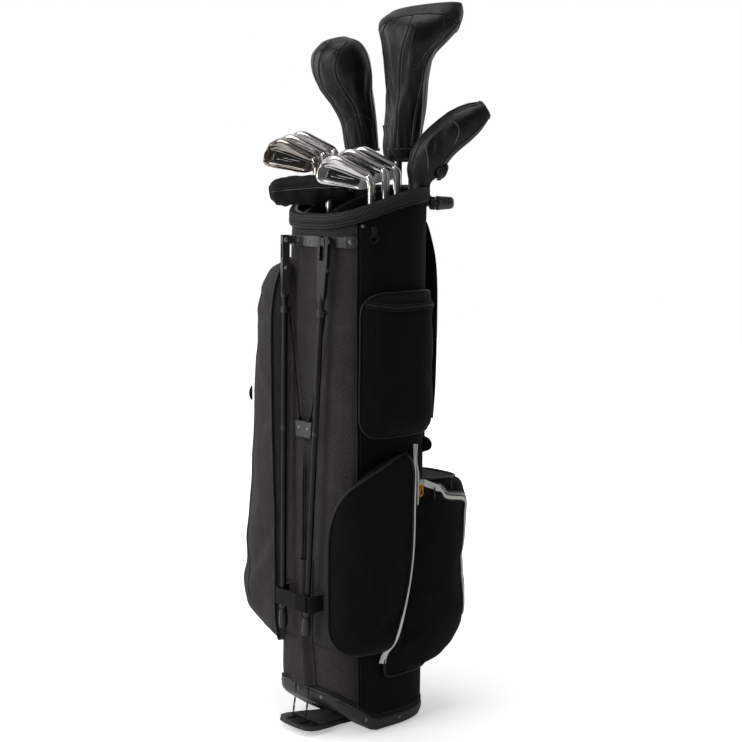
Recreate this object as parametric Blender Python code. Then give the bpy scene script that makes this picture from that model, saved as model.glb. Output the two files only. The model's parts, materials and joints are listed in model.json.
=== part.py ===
"""Golf club set: a stand bag on its base, with folding legs, ten clubs and four headcovers.

Metres, +Z up. The origin is on the ground under the bag's body.
-Y is the front, where the legs are, and +X is right.
Every moving piece has its origin on its joint's axis.
"""

import math

import bmesh
import bpy
from mathutils import Matrix, Vector

# ---- Bag body: a tapered tube with a rounded, nearly rectangular outline ----
HEM_Z = 0.022                # lower edge of the fabric at the sides
RIM_Z = (0.857, 0.909)       # top of the collar at the front and at the back
HALF_WIDTH = (0.093, 0.104)  # at the ground and at the rim
FRONT_Y = (-0.1215, -0.098)
BACK_Y = (0.098, 0.100)
FRONT_SQUARENESS = (5.0, 2.8)  # exponents of the outline; 2 is an ellipse
BACK_SQUARENESS = 2.8
AROUND = 48                  # points round the body
WALL = 0.003
FIT = 0.0006                 # clearance between fixed neighbours
SOFT_GAP = 0.0015            # clearance behind pockets

# ---- Base cup ----
SOLE_BEND_Y = -0.045         # in front of this line the sole slants up
SOLE_RISE = 0.70             # rise per length of the slanted sole
FLOOR_Z = 0.018

# ---- Foot pedal and push rod ----
PEDAL_HINGE = (0.0, -0.046, 0.0052)
PEDAL_TIP_Y = -0.151
PEDAL_TILT = 0.085           # the wires hold its tip up: rise per length
PEDAL_THICKNESS = 0.0080
ROD_RADIUS = 0.0017
ROD_FOOT_Y = -0.1262         # the rod leans back a little from here, along the spine
ROD_LEAN = 0.0216
ROD_FOOT_Z = 0.080
ROD_TOP_Z = 0.4955
SLIDER_Z = (0.498, 0.524)

# ---- Legs ----
LEG_PIVOT = Vector((0.0515, -0.1165, 0.8210))  # right leg; the left one is its mirror image
LEG_FOOT = Vector((0.0310, -0.1420, 0.172))
LEG_YAW = math.radians(25.0)                  # turns the hinge axes, so that the feet splay
LEG_RADIUS = 0.005
LINK_CLIP_DROP = 0.115                        # how far below the pivot the link wire pushes on the leg
LINK_CLIP_GAP = 0.0090                        # how far behind the leg's axis it ends

# ---- Clubs ----
GRIP_RADIUS = 0.0120
GRIP_LENGTH = 0.262
BUTT_CLEARANCE = 0.0040
SHAFT_TIP_RADIUS = 0.0047
SHAFT_BUTT_RADIUS = 0.0074
TOWARDS_TOE = Vector((-0.643, -0.766, 0.0))   # plan direction in which most heads point

MATERIALS = {}


# ---------------------------------------------------------------- helpers
def clear_scene():
    for old in list(bpy.data.objects):
        bpy.data.objects.remove(old, do_unlink=True)


def material(name, colour, roughness, metallic=0.0):
    """Makes one Principled material and keeps it under its name."""
    made = bpy.data.materials.new(name)
    made.use_nodes = True
    shader = made.node_tree.nodes["Principled BSDF"]
    shader.inputs["Base Color"].default_value = (*colour, 1.0)
    shader.inputs["Roughness"].default_value = roughness
    shader.inputs["Metallic"].default_value = metallic
    MATERIALS[name] = made
    return made


def make_materials():
    material("heather_fabric", (0.045, 0.046, 0.050), 0.90)
    material("black_fabric", (0.012, 0.012, 0.013), 0.88)
    material("lining_fabric", (0.030, 0.030, 0.032), 0.92)
    material("mesh_padding", (0.020, 0.020, 0.022), 0.85)
    material("webbing", (0.015, 0.015, 0.016), 0.80)
    material("cover_leather", (0.014, 0.014, 0.015), 0.48)
    material("cover_knit", (0.013, 0.013, 0.014), 0.85)
    material("black_plastic", (0.020, 0.020, 0.022), 0.45)
    material("grey_plastic", (0.110, 0.115, 0.125), 0.40)
    material("leg_metal", (0.035, 0.036, 0.040), 0.35, 0.8)
    material("wire_steel", (0.030, 0.030, 0.032), 0.35, 0.9)
    material("iron_chrome", (0.75, 0.76, 0.78), 0.18, 1.0)
    material("shaft_chrome", (0.70, 0.71, 0.73), 0.16, 1.0)
    material("wood_shaft", (0.020, 0.020, 0.024), 0.30)
    material("wood_head", (0.015, 0.016, 0.019), 0.20)
    material("rubber_grip", (0.022, 0.022, 0.023), 0.80)
    material("zip_metal", (0.45, 0.46, 0.48), 0.30, 1.0)


def mix(pair, t):
    return pair[0] + (pair[1] - pair[0]) * t


def loft(rings, cap_start=True, cap_end=True, closed=False):
    """Joins rings of equally many points; closed=True joins the last ring to the first."""
    bm = bmesh.new()
    made = [[bm.verts.new(p) for p in ring] for ring in rings]
    pairs = list(zip(made, made[1:]))
    if closed:
        pairs.append((made[-1], made[0]))
    for lower, upper in pairs:
        count = len(lower)
        for i in range(count):
            j = (i + 1) % count
            bm.faces.new((lower[i], lower[j], upper[j], upper[i]))
    if cap_start and not closed:
        bm.faces.new(list(reversed(made[0])))
    if cap_end and not closed:
        bm.faces.new(made[-1])
    return bm


def add(name, bm, surface, origin=(0.0, 0.0, 0.0), sharp_deg=40.0):
    """Turns a bmesh in world coordinates into a named object whose origin is where its joint is."""
    bmesh.ops.remove_doubles(bm, verts=bm.verts, dist=1e-7)
    bmesh.ops.recalc_face_normals(bm, faces=bm.faces)
    bmesh.ops.translate(bm, verts=bm.verts, vec=-Vector(origin))
    mesh = bpy.data.meshes.new(name)
    bm.to_mesh(mesh)
    bm.free()
    mesh.materials.append(MATERIALS[surface])
    mesh.shade_smooth()
    mesh.set_sharp_from_angle(angle=math.radians(sharp_deg))
    made = bpy.data.objects.new(name, mesh)
    made.location = origin
    bpy.context.scene.collection.objects.link(made)
    return made


def combine(target, bm, operation):
    """Joins or cuts target with a helper solid that isn't a part itself."""
    helper = add(target.name + "_helper", bm, "black_plastic")
    helper.hide_render = True
    helper.hide_viewport = False
    helper.display_type = "WIRE"
    step = target.modifiers.new(operation.lower(), "BOOLEAN")
    step.operation = operation
    step.solver = "EXACT"
    step.object = helper
    return target


def box(low, high):
    x0, y0, z0 = low
    x1, y1, z1 = high
    lower = [(x0, y0, z0), (x1, y0, z0), (x1, y1, z0), (x0, y1, z0)]
    upper = [(x, y, z1) for x, y, _ in lower]
    return loft([lower, upper])


def circle(centre, along, radius, count=12, flat=1.0, side=None):
    """A ring of points round centre, square to along. flat squeezes it in its second direction."""
    along = Vector(along).normalized()
    if side is None:
        side = Vector((0, 1, 0)) if abs(along.y) < 0.9 else Vector((1, 0, 0))
    first = (Vector(side) - along * Vector(side).dot(along)).normalized()
    second = along.cross(first)
    ring = []
    for i in range(count):
        turn = 2 * math.pi * i / count
        across = first * math.cos(turn) + second * flat * math.sin(turn)
        ring.append(Vector(centre) + across * radius)
    return ring


def directions(points):
    """The direction of a path at each of its points."""
    found = []
    for i in range(len(points)):
        before = points[max(i - 1, 0)]
        after = points[min(i + 1, len(points) - 1)]
        found.append((Vector(after) - Vector(before)).normalized())
    return found


def sweep(points, radius, count=8, flat=1.0, side=None):
    """A bar of round or flattened section along a path. radius is one number, or one for each point."""
    radii = radius if isinstance(radius, (list, tuple)) else [radius] * len(points)
    rings = []
    for point, along, r in zip(points, directions(points), radii):
        rings.append(circle(point, along, r, count, flat, side))
    return loft(rings)


def extrude_outline(outline_points, offset):
    """A flat outline pushed along a vector."""
    lower = [Vector(p) for p in outline_points]
    upper = [p + Vector(offset) for p in lower]
    return loft([lower, upper])


# ---------------------------------------------------------------- bag body outline
def body_section(z):
    """Half width, front and back of the body at height z."""
    t = z / RIM_Z[1]
    return mix(HALF_WIDTH, t), mix(FRONT_Y, t), mix(BACK_Y, t)


def squareness(sine, z):
    """Exponent of the outline: the spine side is squarer near the ground."""
    return mix(FRONT_SQUARENESS, z / RIM_Z[1]) if sine < 0 else BACK_SQUARENESS


def outline(angle, z, out=0.0):
    """Point of the body's outline at height z, moved outwards by out. Angle 0 is +X, 90 degrees +Y."""
    half, front, back = body_section(z)
    depth = (back - front) / 2
    c, s = math.cos(angle), math.sin(angle)
    power = squareness(s, z)
    reach = ((abs(c) / half) ** power + (abs(s) / depth) ** power) ** (-1 / power)
    x, y = reach * c, reach * s
    normal_x = math.copysign(abs(x / half) ** (power - 1) / half, x)
    normal_y = math.copysign(abs(y / depth) ** (power - 1) / depth, y)
    size = math.hypot(normal_x, normal_y)
    centre_y = (back + front) / 2
    return Vector((x + out * normal_x / size, centre_y + y + out * normal_y / size, z))


def angles(count=AROUND):
    return [2 * math.pi * i / count for i in range(count)]


def rim_z(y):
    """The rim rises from the spine, steeply at first."""
    t = min(1.0, max(0.0, (y + 0.111) / 0.20))
    return mix(RIM_Z, 1 - (1 - t) ** 2)


def sole_z(y):
    return max(0.0, SOLE_RISE * (SOLE_BEND_Y - y))


def floor_z(y):
    """Top of the base cup's floor."""
    return max(FLOOR_Z, SOLE_RISE * (SOLE_BEND_Y - y) + 0.0195)


def ring_on(height, out):
    """One ring of the body's outline whose height depends on how far forward each point is."""
    points = []
    for angle in angles():
        z = height(outline(angle, RIM_Z[0] / 2, out).y)
        z = height(outline(angle, z, out).y)
        points.append(outline(angle, z, out))
    return points


def ladder_cap(bm, ring):
    """Closes a ring with strips that run across the body, so that each strip is flat."""
    count = len(ring)
    half = count // 2
    quarter = count // 4
    for i in range(half):
        right, right_up = (i - quarter) % count, (i + 1 - quarter) % count
        left, left_up = (half - i + quarter) % count, (half - i - 1 + quarter) % count
        corners = []
        for k in (right, right_up, left_up, left):
            if ring[k] not in corners:
                corners.append(ring[k])
        bm.faces.new(corners)


# ---------------------------------------------------------------- fixed pieces of the bag
def build_base():
    def above_sole(lift):
        return lambda y: sole_z(y) + lift

    def above_hem(lift):
        return lambda y: HEM_Z + sole_z(y) + lift

    rings = [
        ring_on(above_sole(0.0), -0.0055),
        ring_on(above_sole(0.0030), -0.0010),
        ring_on(above_sole(0.0090), 0.0015),
        ring_on(above_hem(-FIT), 0.0015),
        ring_on(above_hem(-FIT), -WALL - FIT),
        ring_on(above_hem(0.050), -WALL - FIT),
        ring_on(above_hem(0.050), -2 * WALL - FIT),
        ring_on(floor_z, -2 * WALL - FIT),
    ]
    bm = loft(rings, cap_start=False, cap_end=False)
    bm.verts.ensure_lookup_table()
    ladder_cap(bm, [bm.verts[i] for i in range(AROUND)])
    first = AROUND * (len(rings) - 1)
    ladder_cap(bm, [bm.verts[first + i] for i in range(AROUND)])
    base = add("bag_base", bm, "black_plastic", sharp_deg=30)
    recess = [(-0.034, -0.010), (-0.034, 0.0128), (-0.0476, 0.0128), (-0.088, 0.029), (-0.088, -0.010)]
    half = 0.046
    pocket = extrude_outline([(-half, y, z) for y, z in recess], (2 * half, 0, 0))
    return combine(base, pocket, "DIFFERENCE")


def build_shell():
    def hem(y):
        return HEM_Z + sole_z(y)

    def top(y):
        return rim_z(y) - COLLAR_HEIGHT - FIT

    def level(share):
        return lambda y: hem(y) + (top(y) - hem(y)) * share

    shares = (0.0, 0.06, 0.20, 0.40, 0.70, 1.0)
    outer = [ring_on(level(share), 0.0) for share in shares]
    inner = [ring_on(level(share), -WALL) for share in reversed(shares)]
    return add("bag_shell", loft(outer + inner, closed=True), "heather_fabric", sharp_deg=60)


COLLAR_HEIGHT = 0.0240


def build_collar():
    """The padded cuff on top of the fabric, round the top frame."""
    low = -COLLAR_HEIGHT
    section = [(-WALL, low), (0.0020, low), (0.0048, low + 0.0030), (0.0058, low + 0.0110),
               (0.0048, -0.0045), (0.0020, 0.0), (-WALL, 0.0)]
    rings = [ring_on(lambda y, dz=dz: rim_z(y) + dz, out) for out, dz in section]
    return add("collar_pad", loft(rings, closed=True), "mesh_padding", sharp_deg=70)


DIVIDER_LOW, DIVIDER_HIGH = -0.023, -0.003


def divider_bar(start, end, thickness=0.003):
    """A cross bar of the top frame between two plan points, following the slope of the rim."""
    start, end = Vector((*start, 0)), Vector((*end, 0))
    side = (end - start).normalized().cross(Vector((0, 0, 1))) * thickness / 2
    rings = []
    steps = 8
    for i in range(steps + 1):
        middle = start + (end - start) * i / steps
        low, high = rim_z(middle.y) + DIVIDER_LOW, rim_z(middle.y) + DIVIDER_HIGH
        left, right = middle - side, middle + side
        rings.append([(left.x, left.y, low), (right.x, right.y, low),
                      (right.x, right.y, high), (left.x, left.y, high)])
    return loft(rings)


DIVIDER_RIGHT_X = 0.0275
DIVIDER_LEFT_X = -0.0370


def build_top_frame():
    section = [(-WALL - FIT, -0.024), (-WALL - FIT, -0.0015), (-0.0078, -0.0015), (-0.0078, -0.024)]
    rings = [ring_on(lambda y, dz=dz: rim_z(y) + dz, out) for out, dz in section]
    frame = add("top_frame", loft(rings, closed=True), "black_plastic")
    for x in (DIVIDER_LEFT_X, DIVIDER_RIGHT_X):
        combine(frame, divider_bar((x, -0.0905), (x, 0.0925)), "UNION")
    combine(frame, divider_bar((DIVIDER_LEFT_X, 0.0200), (DIVIDER_RIGHT_X, 0.0200)), "UNION")
    combine(frame, divider_bar((-0.0970, 0.0320), (DIVIDER_LEFT_X, 0.0320)), "UNION")
    return frame


def build_divider_panel():
    """The full-length fabric divider that hangs from the left bar of the top frame."""
    thickness = 0.0012
    top_x, bottom_x = DIVIDER_LEFT_X, -0.0305
    corners = [(bottom_x, -0.103, 0.090), (bottom_x, 0.083, 0.090),
               (top_x, 0.083, 0.868), (top_x, -0.085, 0.840)]
    left = [(x - thickness / 2, y, z) for x, y, z in corners]
    right = [(x + thickness / 2, y, z) for x, y, z in corners]
    return add("divider_panel", loft([left, right]), "lining_fabric")


def build_leg_bracket():
    """A plate bent round the front of the body, with a lug at each leg pivot."""
    start, end, steps = math.radians(238), math.radians(318), 20
    rings = []
    for i in range(steps + 1):
        angle = start + (end - start) * i / steps
        low, high = 0.8115, 0.8285
        rings.append([outline(angle, low, 0.0008), outline(angle, low, 0.0055),
                      outline(angle, high, 0.0055), outline(angle, high, 0.0008)])
    bracket = add("leg_bracket", loft(rings), "black_plastic")
    for side in (-1, 1):
        pivot, axis = leg_pivot(side), leg_axis(side)
        inward = Vector((0, 0, 1)).cross(axis)
        if inward.y < 0:
            inward = -inward
        ends = (pivot - inward * 0.0060, pivot + inward * 0.0183)
        half_height, half_width = 0.0065, 0.0042
        rings = [[end + axis * half_width * a + Vector((0, 0, half_height * b))
                  for a, b in ((-1, -1), (1, -1), (1, 1), (-1, 1))] for end in ends]
        combine(bracket, loft(rings), "UNION")
    return bracket


def build_trunk_handle():
    z, reach = 0.8800, 0.0400
    start, end, steps = math.radians(48), math.radians(106), 10
    points = []
    for i in range(steps + 1):
        t = i / steps
        bow = (1 - (2 * t - 1) ** 4) ** 0.5
        points.append(outline(start + (end - start) * t, z, 0.0150 + reach * bow))
    return add("trunk_handle", sweep(points, 0.0100, 10, 0.36, (0, 0, 1)), "grey_plastic")


def build_shoulder_strap():
    """Padded double strap hanging down the back: a horseshoe with its bend at the top."""
    half_path = [(0.0400, 0.0090, 0.470), (0.0450, 0.0140, 0.560), (0.0460, 0.0165, 0.660),
                 (0.0440, 0.0175, 0.750), (0.0360, 0.0175, 0.807), (0.0190, 0.0175, 0.832)]
    path = half_path + [(0.0, 0.0175, 0.839)] + [(-x, d, z) for x, d, z in reversed(half_path)]
    points = [Vector((x, body_section(z)[2] + d, z)) for x, d, z in path]
    return add("shoulder_strap", sweep(points, 0.0060, 12, 3.6, (0, 1, 0)), "webbing")


def build_leg_strap():
    """Hook-and-loop strap that holds both legs to the spine, 27 mm wide."""
    low, height, thickness = 0.2125, 0.0275, 0.0015
    front = -0.1490
    half = [(0.0400, front), (0.0450, front + 0.0040), (0.0465, -0.1175)]
    outer = [(-x, y) for x, y in reversed(half)] + half
    inner_half = [(0.0395, front + thickness), (0.0435, front + 0.0050), (0.0450, -0.1175)]
    inner = [(-x, y) for x, y in reversed(inner_half)] + inner_half
    plan = outer + list(reversed(inner))
    return add("leg_strap", extrude_outline([(x, y, low) for x, y in plan], (0, 0, height)), "webbing")


# ---------------------------------------------------------------- pockets
EDGE = 0.004   # thickness of a pocket at its seams


def round_end(distance, radius):
    """0 at an edge, rising along a quarter circle to 1 at radius."""
    if distance >= radius:
        return 1.0
    return math.sqrt(max(0.0, 1 - (1 - distance / radius) ** 2))


def swollen_reach(angle, z, centre, half, power=3.4):
    """How far a pocket's outer form is from the body's axis in one direction, found by halving."""
    _, front, back = body_section(z)
    middle = (front + back) / 2
    near, far = 0.02, 0.45
    for _ in range(40):
        trial = (near + far) / 2
        dx = (trial * math.cos(angle) - centre[0]) / half[0]
        dy = (middle + trial * math.sin(angle) - centre[1]) / half[1]
        if abs(dx) ** power + abs(dy) ** power < 1:
            near = trial
        else:
            far = trial
    return near


def pocket_thickness(angle, z, form, z_span, corner):
    """Thickness of a pocket at a point: its outer form, brought down to a seam at its top and bottom."""
    centre, half = form(z)
    _, front, back = body_section(z)
    inner = outline(angle, z, SOFT_GAP)
    reach = math.hypot(inner.x, inner.y - (front + back) / 2)
    swell = max(0.0, swollen_reach(angle, z, centre, half) - reach - EDGE)
    ends = min(round_end(z - z_span[0], corner[0]), round_end(z_span[1] - z, corner[1]))
    return EDGE + swell * ends


def pocket_points(angle, z, thickness):
    inner = outline(angle, z, SOFT_GAP)
    away = Vector((math.cos(angle), math.sin(angle), 0))
    return inner, inner + away * thickness


def even_steps(low, high, count, corner):
    """Heights between low and high, packed closer near both ends, where the form turns."""
    steps = []
    for i in range(count):
        t = i / (count - 1)
        eased = (1 - math.cos(math.pi * t)) / 2
        steps.append(low + (high - low) * (t * (1 - corner) + eased * corner))
    return steps


def wrap_pocket(name, surface, z_span, from_angle, to_angle, form, corner, rows=13, columns=14):
    """A pocket that lies round the body between two angles, which may change with height."""
    inner_rows, outer_rows = [], []
    for z in even_steps(z_span[0], z_span[1], rows, 0.8):
        low, high = math.radians(from_angle(z)), math.radians(to_angle(z))
        inner_row, outer_row = [], []
        for angle in even_steps(low, high, columns, 0.5):
            thickness = pocket_thickness(angle, z, form, z_span, corner)
            a, b = pocket_points(angle, z, thickness)
            inner_row.append(a)
            outer_row.append(b)
        inner_rows.append(inner_row)
        outer_rows.append(outer_row)
    return add(name, shell_from_rows(inner_rows, outer_rows), surface, sharp_deg=50)


def shell_from_rows(inner_rows, outer_rows):
    """A closed solid between two grids of points."""
    bm = bmesh.new()
    inner = [[bm.verts.new(p) for p in row] for row in inner_rows]
    outer = [[bm.verts.new(p) for p in row] for row in outer_rows]
    rows, columns = len(inner), len(inner[0])
    for i in range(rows - 1):
        for j in range(columns - 1):
            bm.faces.new((outer[i][j], outer[i][j + 1], outer[i + 1][j + 1], outer[i + 1][j]))
            bm.faces.new((inner[i][j], inner[i + 1][j], inner[i + 1][j + 1], inner[i][j + 1]))
    for j in range(columns - 1):
        bm.faces.new((inner[0][j], inner[0][j + 1], outer[0][j + 1], outer[0][j]))
        bm.faces.new((inner[-1][j + 1], inner[-1][j], outer[-1][j], outer[-1][j + 1]))
    for i in range(rows - 1):
        bm.faces.new((inner[i + 1][0], inner[i][0], outer[i][0], outer[i + 1][0]))
        bm.faces.new((inner[i][-1], inner[i + 1][-1], outer[i + 1][-1], outer[i][-1]))
    return bm


def apparel_form(z):
    """Long left pocket: deepest near the ground."""
    side = mix((0.229, 0.171), min(1.0, max(0.0, (z - 0.20) / 0.46)))
    return (-0.045, -0.022), (side - 0.045, 0.108)


def lower_side_form(z):
    return (0.030, -0.020), (0.098, 0.108)


def ball_form(z):
    return (0.018, 0.080), (0.095, 0.098)


def upper_side_form(z):
    return (0.020, -0.004), (0.106, 0.092)


BALL_SPAN = (0.092, 0.432)
BALL_CORNER = (0.105, 0.055)


def lower_side_front(z):
    """Front edge of the lower side pocket: straight, then curving back near its top."""
    bend = max(0.0, (z - 0.330) / 0.140)
    return 301.0 + 33.0 * bend ** 2.2


def trim_angle(z):
    """Where the grey trim runs between the lower side pocket and the ball pocket."""
    low = min(1.0, max(0.0, (z - 0.13) / 0.20))
    high = max(0.0, (z - 0.40) / 0.085)
    return 346.0 + 22.0 * (1 - (1 - low) ** 1.8) + 5.0 * high ** 2


def build_pockets():
    wrap_pocket("apparel_pocket", "heather_fabric", (0.130, 0.787), lambda z: 128.0, lambda z: 240.0,
                apparel_form, (0.080, 0.120), rows=15)
    wrap_pocket("lower_side_pocket", "black_fabric", (0.140, 0.470), lower_side_front,
                lambda z: trim_angle(z) - 1.6, lower_side_form, (0.030, 0.040), rows=13, columns=12)
    wrap_pocket("ball_pocket", "black_fabric", BALL_SPAN, lambda z: trim_angle(z) - 360.0 + 1.6,
                lambda z: 122.0, ball_form, BALL_CORNER, rows=13, columns=18)
    wrap_pocket("upper_side_pocket", "black_fabric", (0.500, 0.738), lambda z: 321.0, lambda z: 412.0,
                upper_side_form, (0.040, 0.040), rows=10)


# ---------------------------------------------------------------- legs and their drive
def leg_pivot(side):
    return Vector((side * LEG_PIVOT.x, LEG_PIVOT.y, LEG_PIVOT.z))


def leg_foot(side):
    return Vector((side * LEG_FOOT.x, LEG_FOOT.y, LEG_FOOT.z))


def leg_axis(side):
    """Hinge axis: a positive turn swings the foot forwards and outwards."""
    return Vector((-math.cos(LEG_YAW), -side * math.sin(LEG_YAW), 0))


def build_leg(side, label):
    pivot, foot, axis = leg_pivot(side), leg_foot(side), leg_axis(side)
    down = (foot - pivot).normalized()
    out = axis.cross(down).normalized()
    across = down.cross(out).normalized()

    def at(a, d):
        return pivot + across * a + down * d

    half = [(0.0085, -0.0080), (0.0090, 0.0300), (0.0072, 0.0600), (0.0062, 0.0900)]
    slot = [(0.0047, 0.0300), (0.0047, -0.0080)]
    plan = half + [(-a, d) for a, d in reversed(half)] + [(-a, d) for a, d in reversed(slot)] + slot
    points = [at(a, d) - out * 0.0060 for a, d in plan]
    add("leg_yoke_" + label, extrude_outline(points, out * 0.0120), "black_plastic", pivot)

    tube_ends = [pivot + down * 0.0903, foot - down * 0.0300]
    tube = sweep(tube_ends, LEG_RADIUS, 12)
    add("leg_tube_" + label, tube, "leg_metal", pivot)

    stations = [(0.0297, 0.0062), (0.0240, 0.0072), (0.0080, 0.0078), (0.0000, 0.0060)]
    rings = [circle(foot - down * d, down, r, 10) for d, r in stations]
    add("leg_foot_" + label, loft(rings), "rubber_grip", pivot)


def rod_y(z):
    return ROD_FOOT_Y + ROD_LEAN * (z - ROD_FOOT_Z)


def link_bottom(side):
    return Vector((side * 0.0140, rod_y(SLIDER_Z[1]), SLIDER_Z[1] + 0.0015))


def link_top(side):
    pivot, foot = leg_pivot(side), leg_foot(side)
    on_leg = pivot + (foot - pivot).normalized() * LINK_CLIP_DROP
    return Vector((on_leg.x, on_leg.y + LINK_CLIP_GAP, on_leg.z))


def build_drive():
    """Pedal, hairpin push rod, slider plate and the two link wires."""
    half = [(0.0300, -0.0400), (0.0330, -0.0700), (0.0400, -0.1000), (0.0440, -0.1270),
            (0.0415, -0.1410), (0.0320, -0.1485), (0.0150, PEDAL_TIP_Y)]
    plan = half + [(-x, y) for x, y in reversed(half)]
    sloped = [(x, y, 0.0010 + (PEDAL_HINGE[1] - y) * PEDAL_TILT) for x, y in plan]
    pedal = extrude_outline(sloped, (0, 0, PEDAL_THICKNESS))
    pedal = add("foot_pedal", pedal, "black_plastic", PEDAL_HINGE)
    for x in (-0.017, 0.017):
        combine(pedal, box((x - 0.0035, -0.1455, 0.002), (x + 0.0035, -0.1240, 0.030)), "DIFFERENCE")

    bends = [(0.0170, ROD_FOOT_Z), (0.0120, 0.1080), (0.0050, 0.1350), (0.0030, 0.1600),
             (0.0030, ROD_TOP_Z - 0.0040), (0.0022, ROD_TOP_Z - 0.0022)]
    right = [(0.0170, -0.1350, 0.0110), (0.0170, rod_y(0.056) - 0.0010, 0.0560)]
    right += [(x, rod_y(z), z) for x, z in bends]
    left = [(-x, y, z) for x, y, z in reversed(right)]
    points = [Vector(p) for p in right + [(0.0, rod_y(ROD_TOP_Z), ROD_TOP_Z - 0.0017)] + left]
    add("push_rod", sweep(points, ROD_RADIUS, 8, 1.0, (0, 1, 0)), "wire_steel")

    top, bottom = 0.0215, 0.0190
    plate = [(-bottom, SLIDER_Z[0]), (bottom, SLIDER_Z[0]), (top, SLIDER_Z[1]), (-top, SLIDER_Z[1])]
    face_y = rod_y(SLIDER_Z[0]) - 0.0045
    plate = extrude_outline([(x, face_y, z) for x, z in plate], (0, 0.0075, 0))
    add("slider_plate", plate, "black_plastic")

    for side, label in ((-1, "left"), (1, "right")):
        ends = [link_bottom(side), link_top(side)]
        add("link_wire_" + label, sweep(ends, 0.0015, 8), "wire_steel", link_bottom(side))


# ---------------------------------------------------------------- zip pulls
PULL_LENGTH = 0.020


def zip_hinge(angle_deg, z):
    """A point outside the ball pocket, clear of its widest part over the length of the pull."""
    angle = math.radians(angle_deg)
    thickness = pocket_thickness(angle, z - PULL_LENGTH, ball_form, BALL_SPAN, BALL_CORNER)
    return pocket_points(angle, z, thickness + 0.0025)[1]


def build_zip_pull(name, angle_deg, z):
    hinge = zip_hinge(angle_deg, z)
    away = Vector((math.cos(math.radians(angle_deg)), math.sin(math.radians(angle_deg)), 0))
    across = Vector((-away.y, away.x, 0))
    half_width, half_thickness = 0.0030, 0.0008
    rings = []
    for drop, wide in ((0.0, 0.7), (0.004, 1.0), (PULL_LENGTH - 0.003, 1.0), (PULL_LENGTH, 0.6)):
        centre = hinge - Vector((0, 0, drop))
        rings.append([centre + across * half_width * wide * a + away * half_thickness * b
                      for a, b in ((-1, -1), (1, -1), (1, 1), (-1, 1))])
    add(name, loft(rings), "zip_metal", hinge)


# ---------------------------------------------------------------- clubs
class Club:
    """Where one club stands: its butt, its axis through the bag's mouth and the height of its sole."""

    def __init__(self, name, mouth, butt, sole_z):
        self.name = name
        butt_z = floor_z(butt[1] - GRIP_RADIUS) + BUTT_CLEARANCE
        self.butt = Vector((butt[0], butt[1], butt_z))
        mouth = Vector((mouth[0], mouth[1], 0.88))
        self.axis = (mouth - self.butt).normalized()
        self.sole = self.at_height(sole_z)

    def at_height(self, z):
        return self.butt + self.axis * ((z - self.butt.z) / self.axis.z)


CLUBS = {
    "iron_1": Club("iron_1", (0.056, -0.022), (0.050, -0.030), 0.929),
    "iron_2": Club("iron_2", (0.050, 0.014), (0.048, -0.002), 0.940),
    "iron_3": Club("iron_3", (0.042, 0.046), (0.044, 0.026), 0.944),
    "iron_4": Club("iron_4", (-0.056, -0.046), (-0.050, -0.050), 0.958),
    "iron_5": Club("iron_5", (-0.0661, -0.0176), (-0.054, -0.0186), 0.966),
    "iron_6": Club("iron_6", (-0.0729, 0.0114), (-0.063, 0.0125), 0.972),
    "driver": Club("driver", (0.0135, 0.0748), (0.006, 0.060), 1.158),
    "fairway": Club("fairway", (-0.0674, 0.0597), (-0.046, 0.045), 1.118),
    "hybrid": Club("hybrid", (0.0651, 0.0589), (0.046, 0.054), 0.955),
    "putter": Club("putter", (-0.0184, -0.050), (-0.012, -0.055), 0.914),
}


def build_grip_and_shaft(club, shaft_top, shaft_surface):
    """A tapered rubber grip at the butt and a tapered shaft up to the head."""
    axis = club.axis
    grip_stations = [(0.0, 0.90), (0.004, 1.0), (0.150, 0.84), (GRIP_LENGTH, 0.72)]
    rings = [circle(club.butt + axis * d, axis, GRIP_RADIUS * r, 12) for d, r in grip_stations]
    add(club.name + "_grip", loft(rings), "rubber_grip", club.butt)
    start = club.butt + axis * (GRIP_LENGTH + 0.0005)
    end = club.at_height(shaft_top)
    rings = [circle(start, axis, SHAFT_BUTT_RADIUS, 12), circle(end, axis, SHAFT_TIP_RADIUS, 12)]
    add(club.name + "_shaft", loft(rings), shaft_surface, club.butt)


def head_frame(club, toe_plan, lie_deg):
    """Directions of an upturned head: towards its toe, towards its sole, and square to both."""
    flat_toe = (toe_plan - club.axis * toe_plan.dot(club.axis)).normalized()
    lift = math.radians(90 - lie_deg)
    toe = flat_toe * math.cos(lift) + club.axis * math.sin(lift)
    sole = club.axis * math.cos(lift) - flat_toe * math.sin(lift)
    return toe, sole, sole.cross(toe)


HOSEL_RADIUS = 0.0066


def build_iron(club):
    """A blade whose wide sole faces up, with a hosel running down to the shaft."""
    toe, sole, back = head_frame(club, TOWARDS_TOE, 62.0)
    blade_height = [(-0.006, 0.028, 0.0), (0.004, 0.034, 0.0), (0.030, 0.042, 0.0), (0.058, 0.053, 0.0),
                    (0.070, 0.055, 0.002), (0.077, 0.046, 0.010), (0.079, 0.036, 0.020)]
    loft_slope = math.tan(math.radians(20.0))
    rings = []
    for reach, height, cut in blade_height:
        wide = 0.0090 - 0.0030 * (cut / 0.020)
        section = [(-cut, wide), (-cut - 0.004, wide), (-height, 0.0024), (-height, -0.0024),
                   (-cut - 0.004, -wide * 0.8), (-cut, -wide * 0.8)]
        ring = []
        for down, off in section:
            lean = (-down - 0.026) * loft_slope * 0.5
            ring.append(club.sole + toe * reach + sole * down + back * (off + lean))
        rings.append(ring)
    head = add(club.name + "_head", loft(rings), "iron_chrome", club.butt, 30)
    hosel_top, hosel_bottom = club.at_height(club.sole.z - 0.010), club.at_height(club.sole.z - 0.068)
    radii = (HOSEL_RADIUS * 0.9, HOSEL_RADIUS)
    hosel = loft([circle(hosel_bottom, club.axis, radii[0], 12),
                  circle(hosel_top, club.axis, radii[1], 12)])
    combine(head, hosel, "UNION")
    build_grip_and_shaft(club, club.sole.z - 0.0685, "shaft_chrome")


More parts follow.
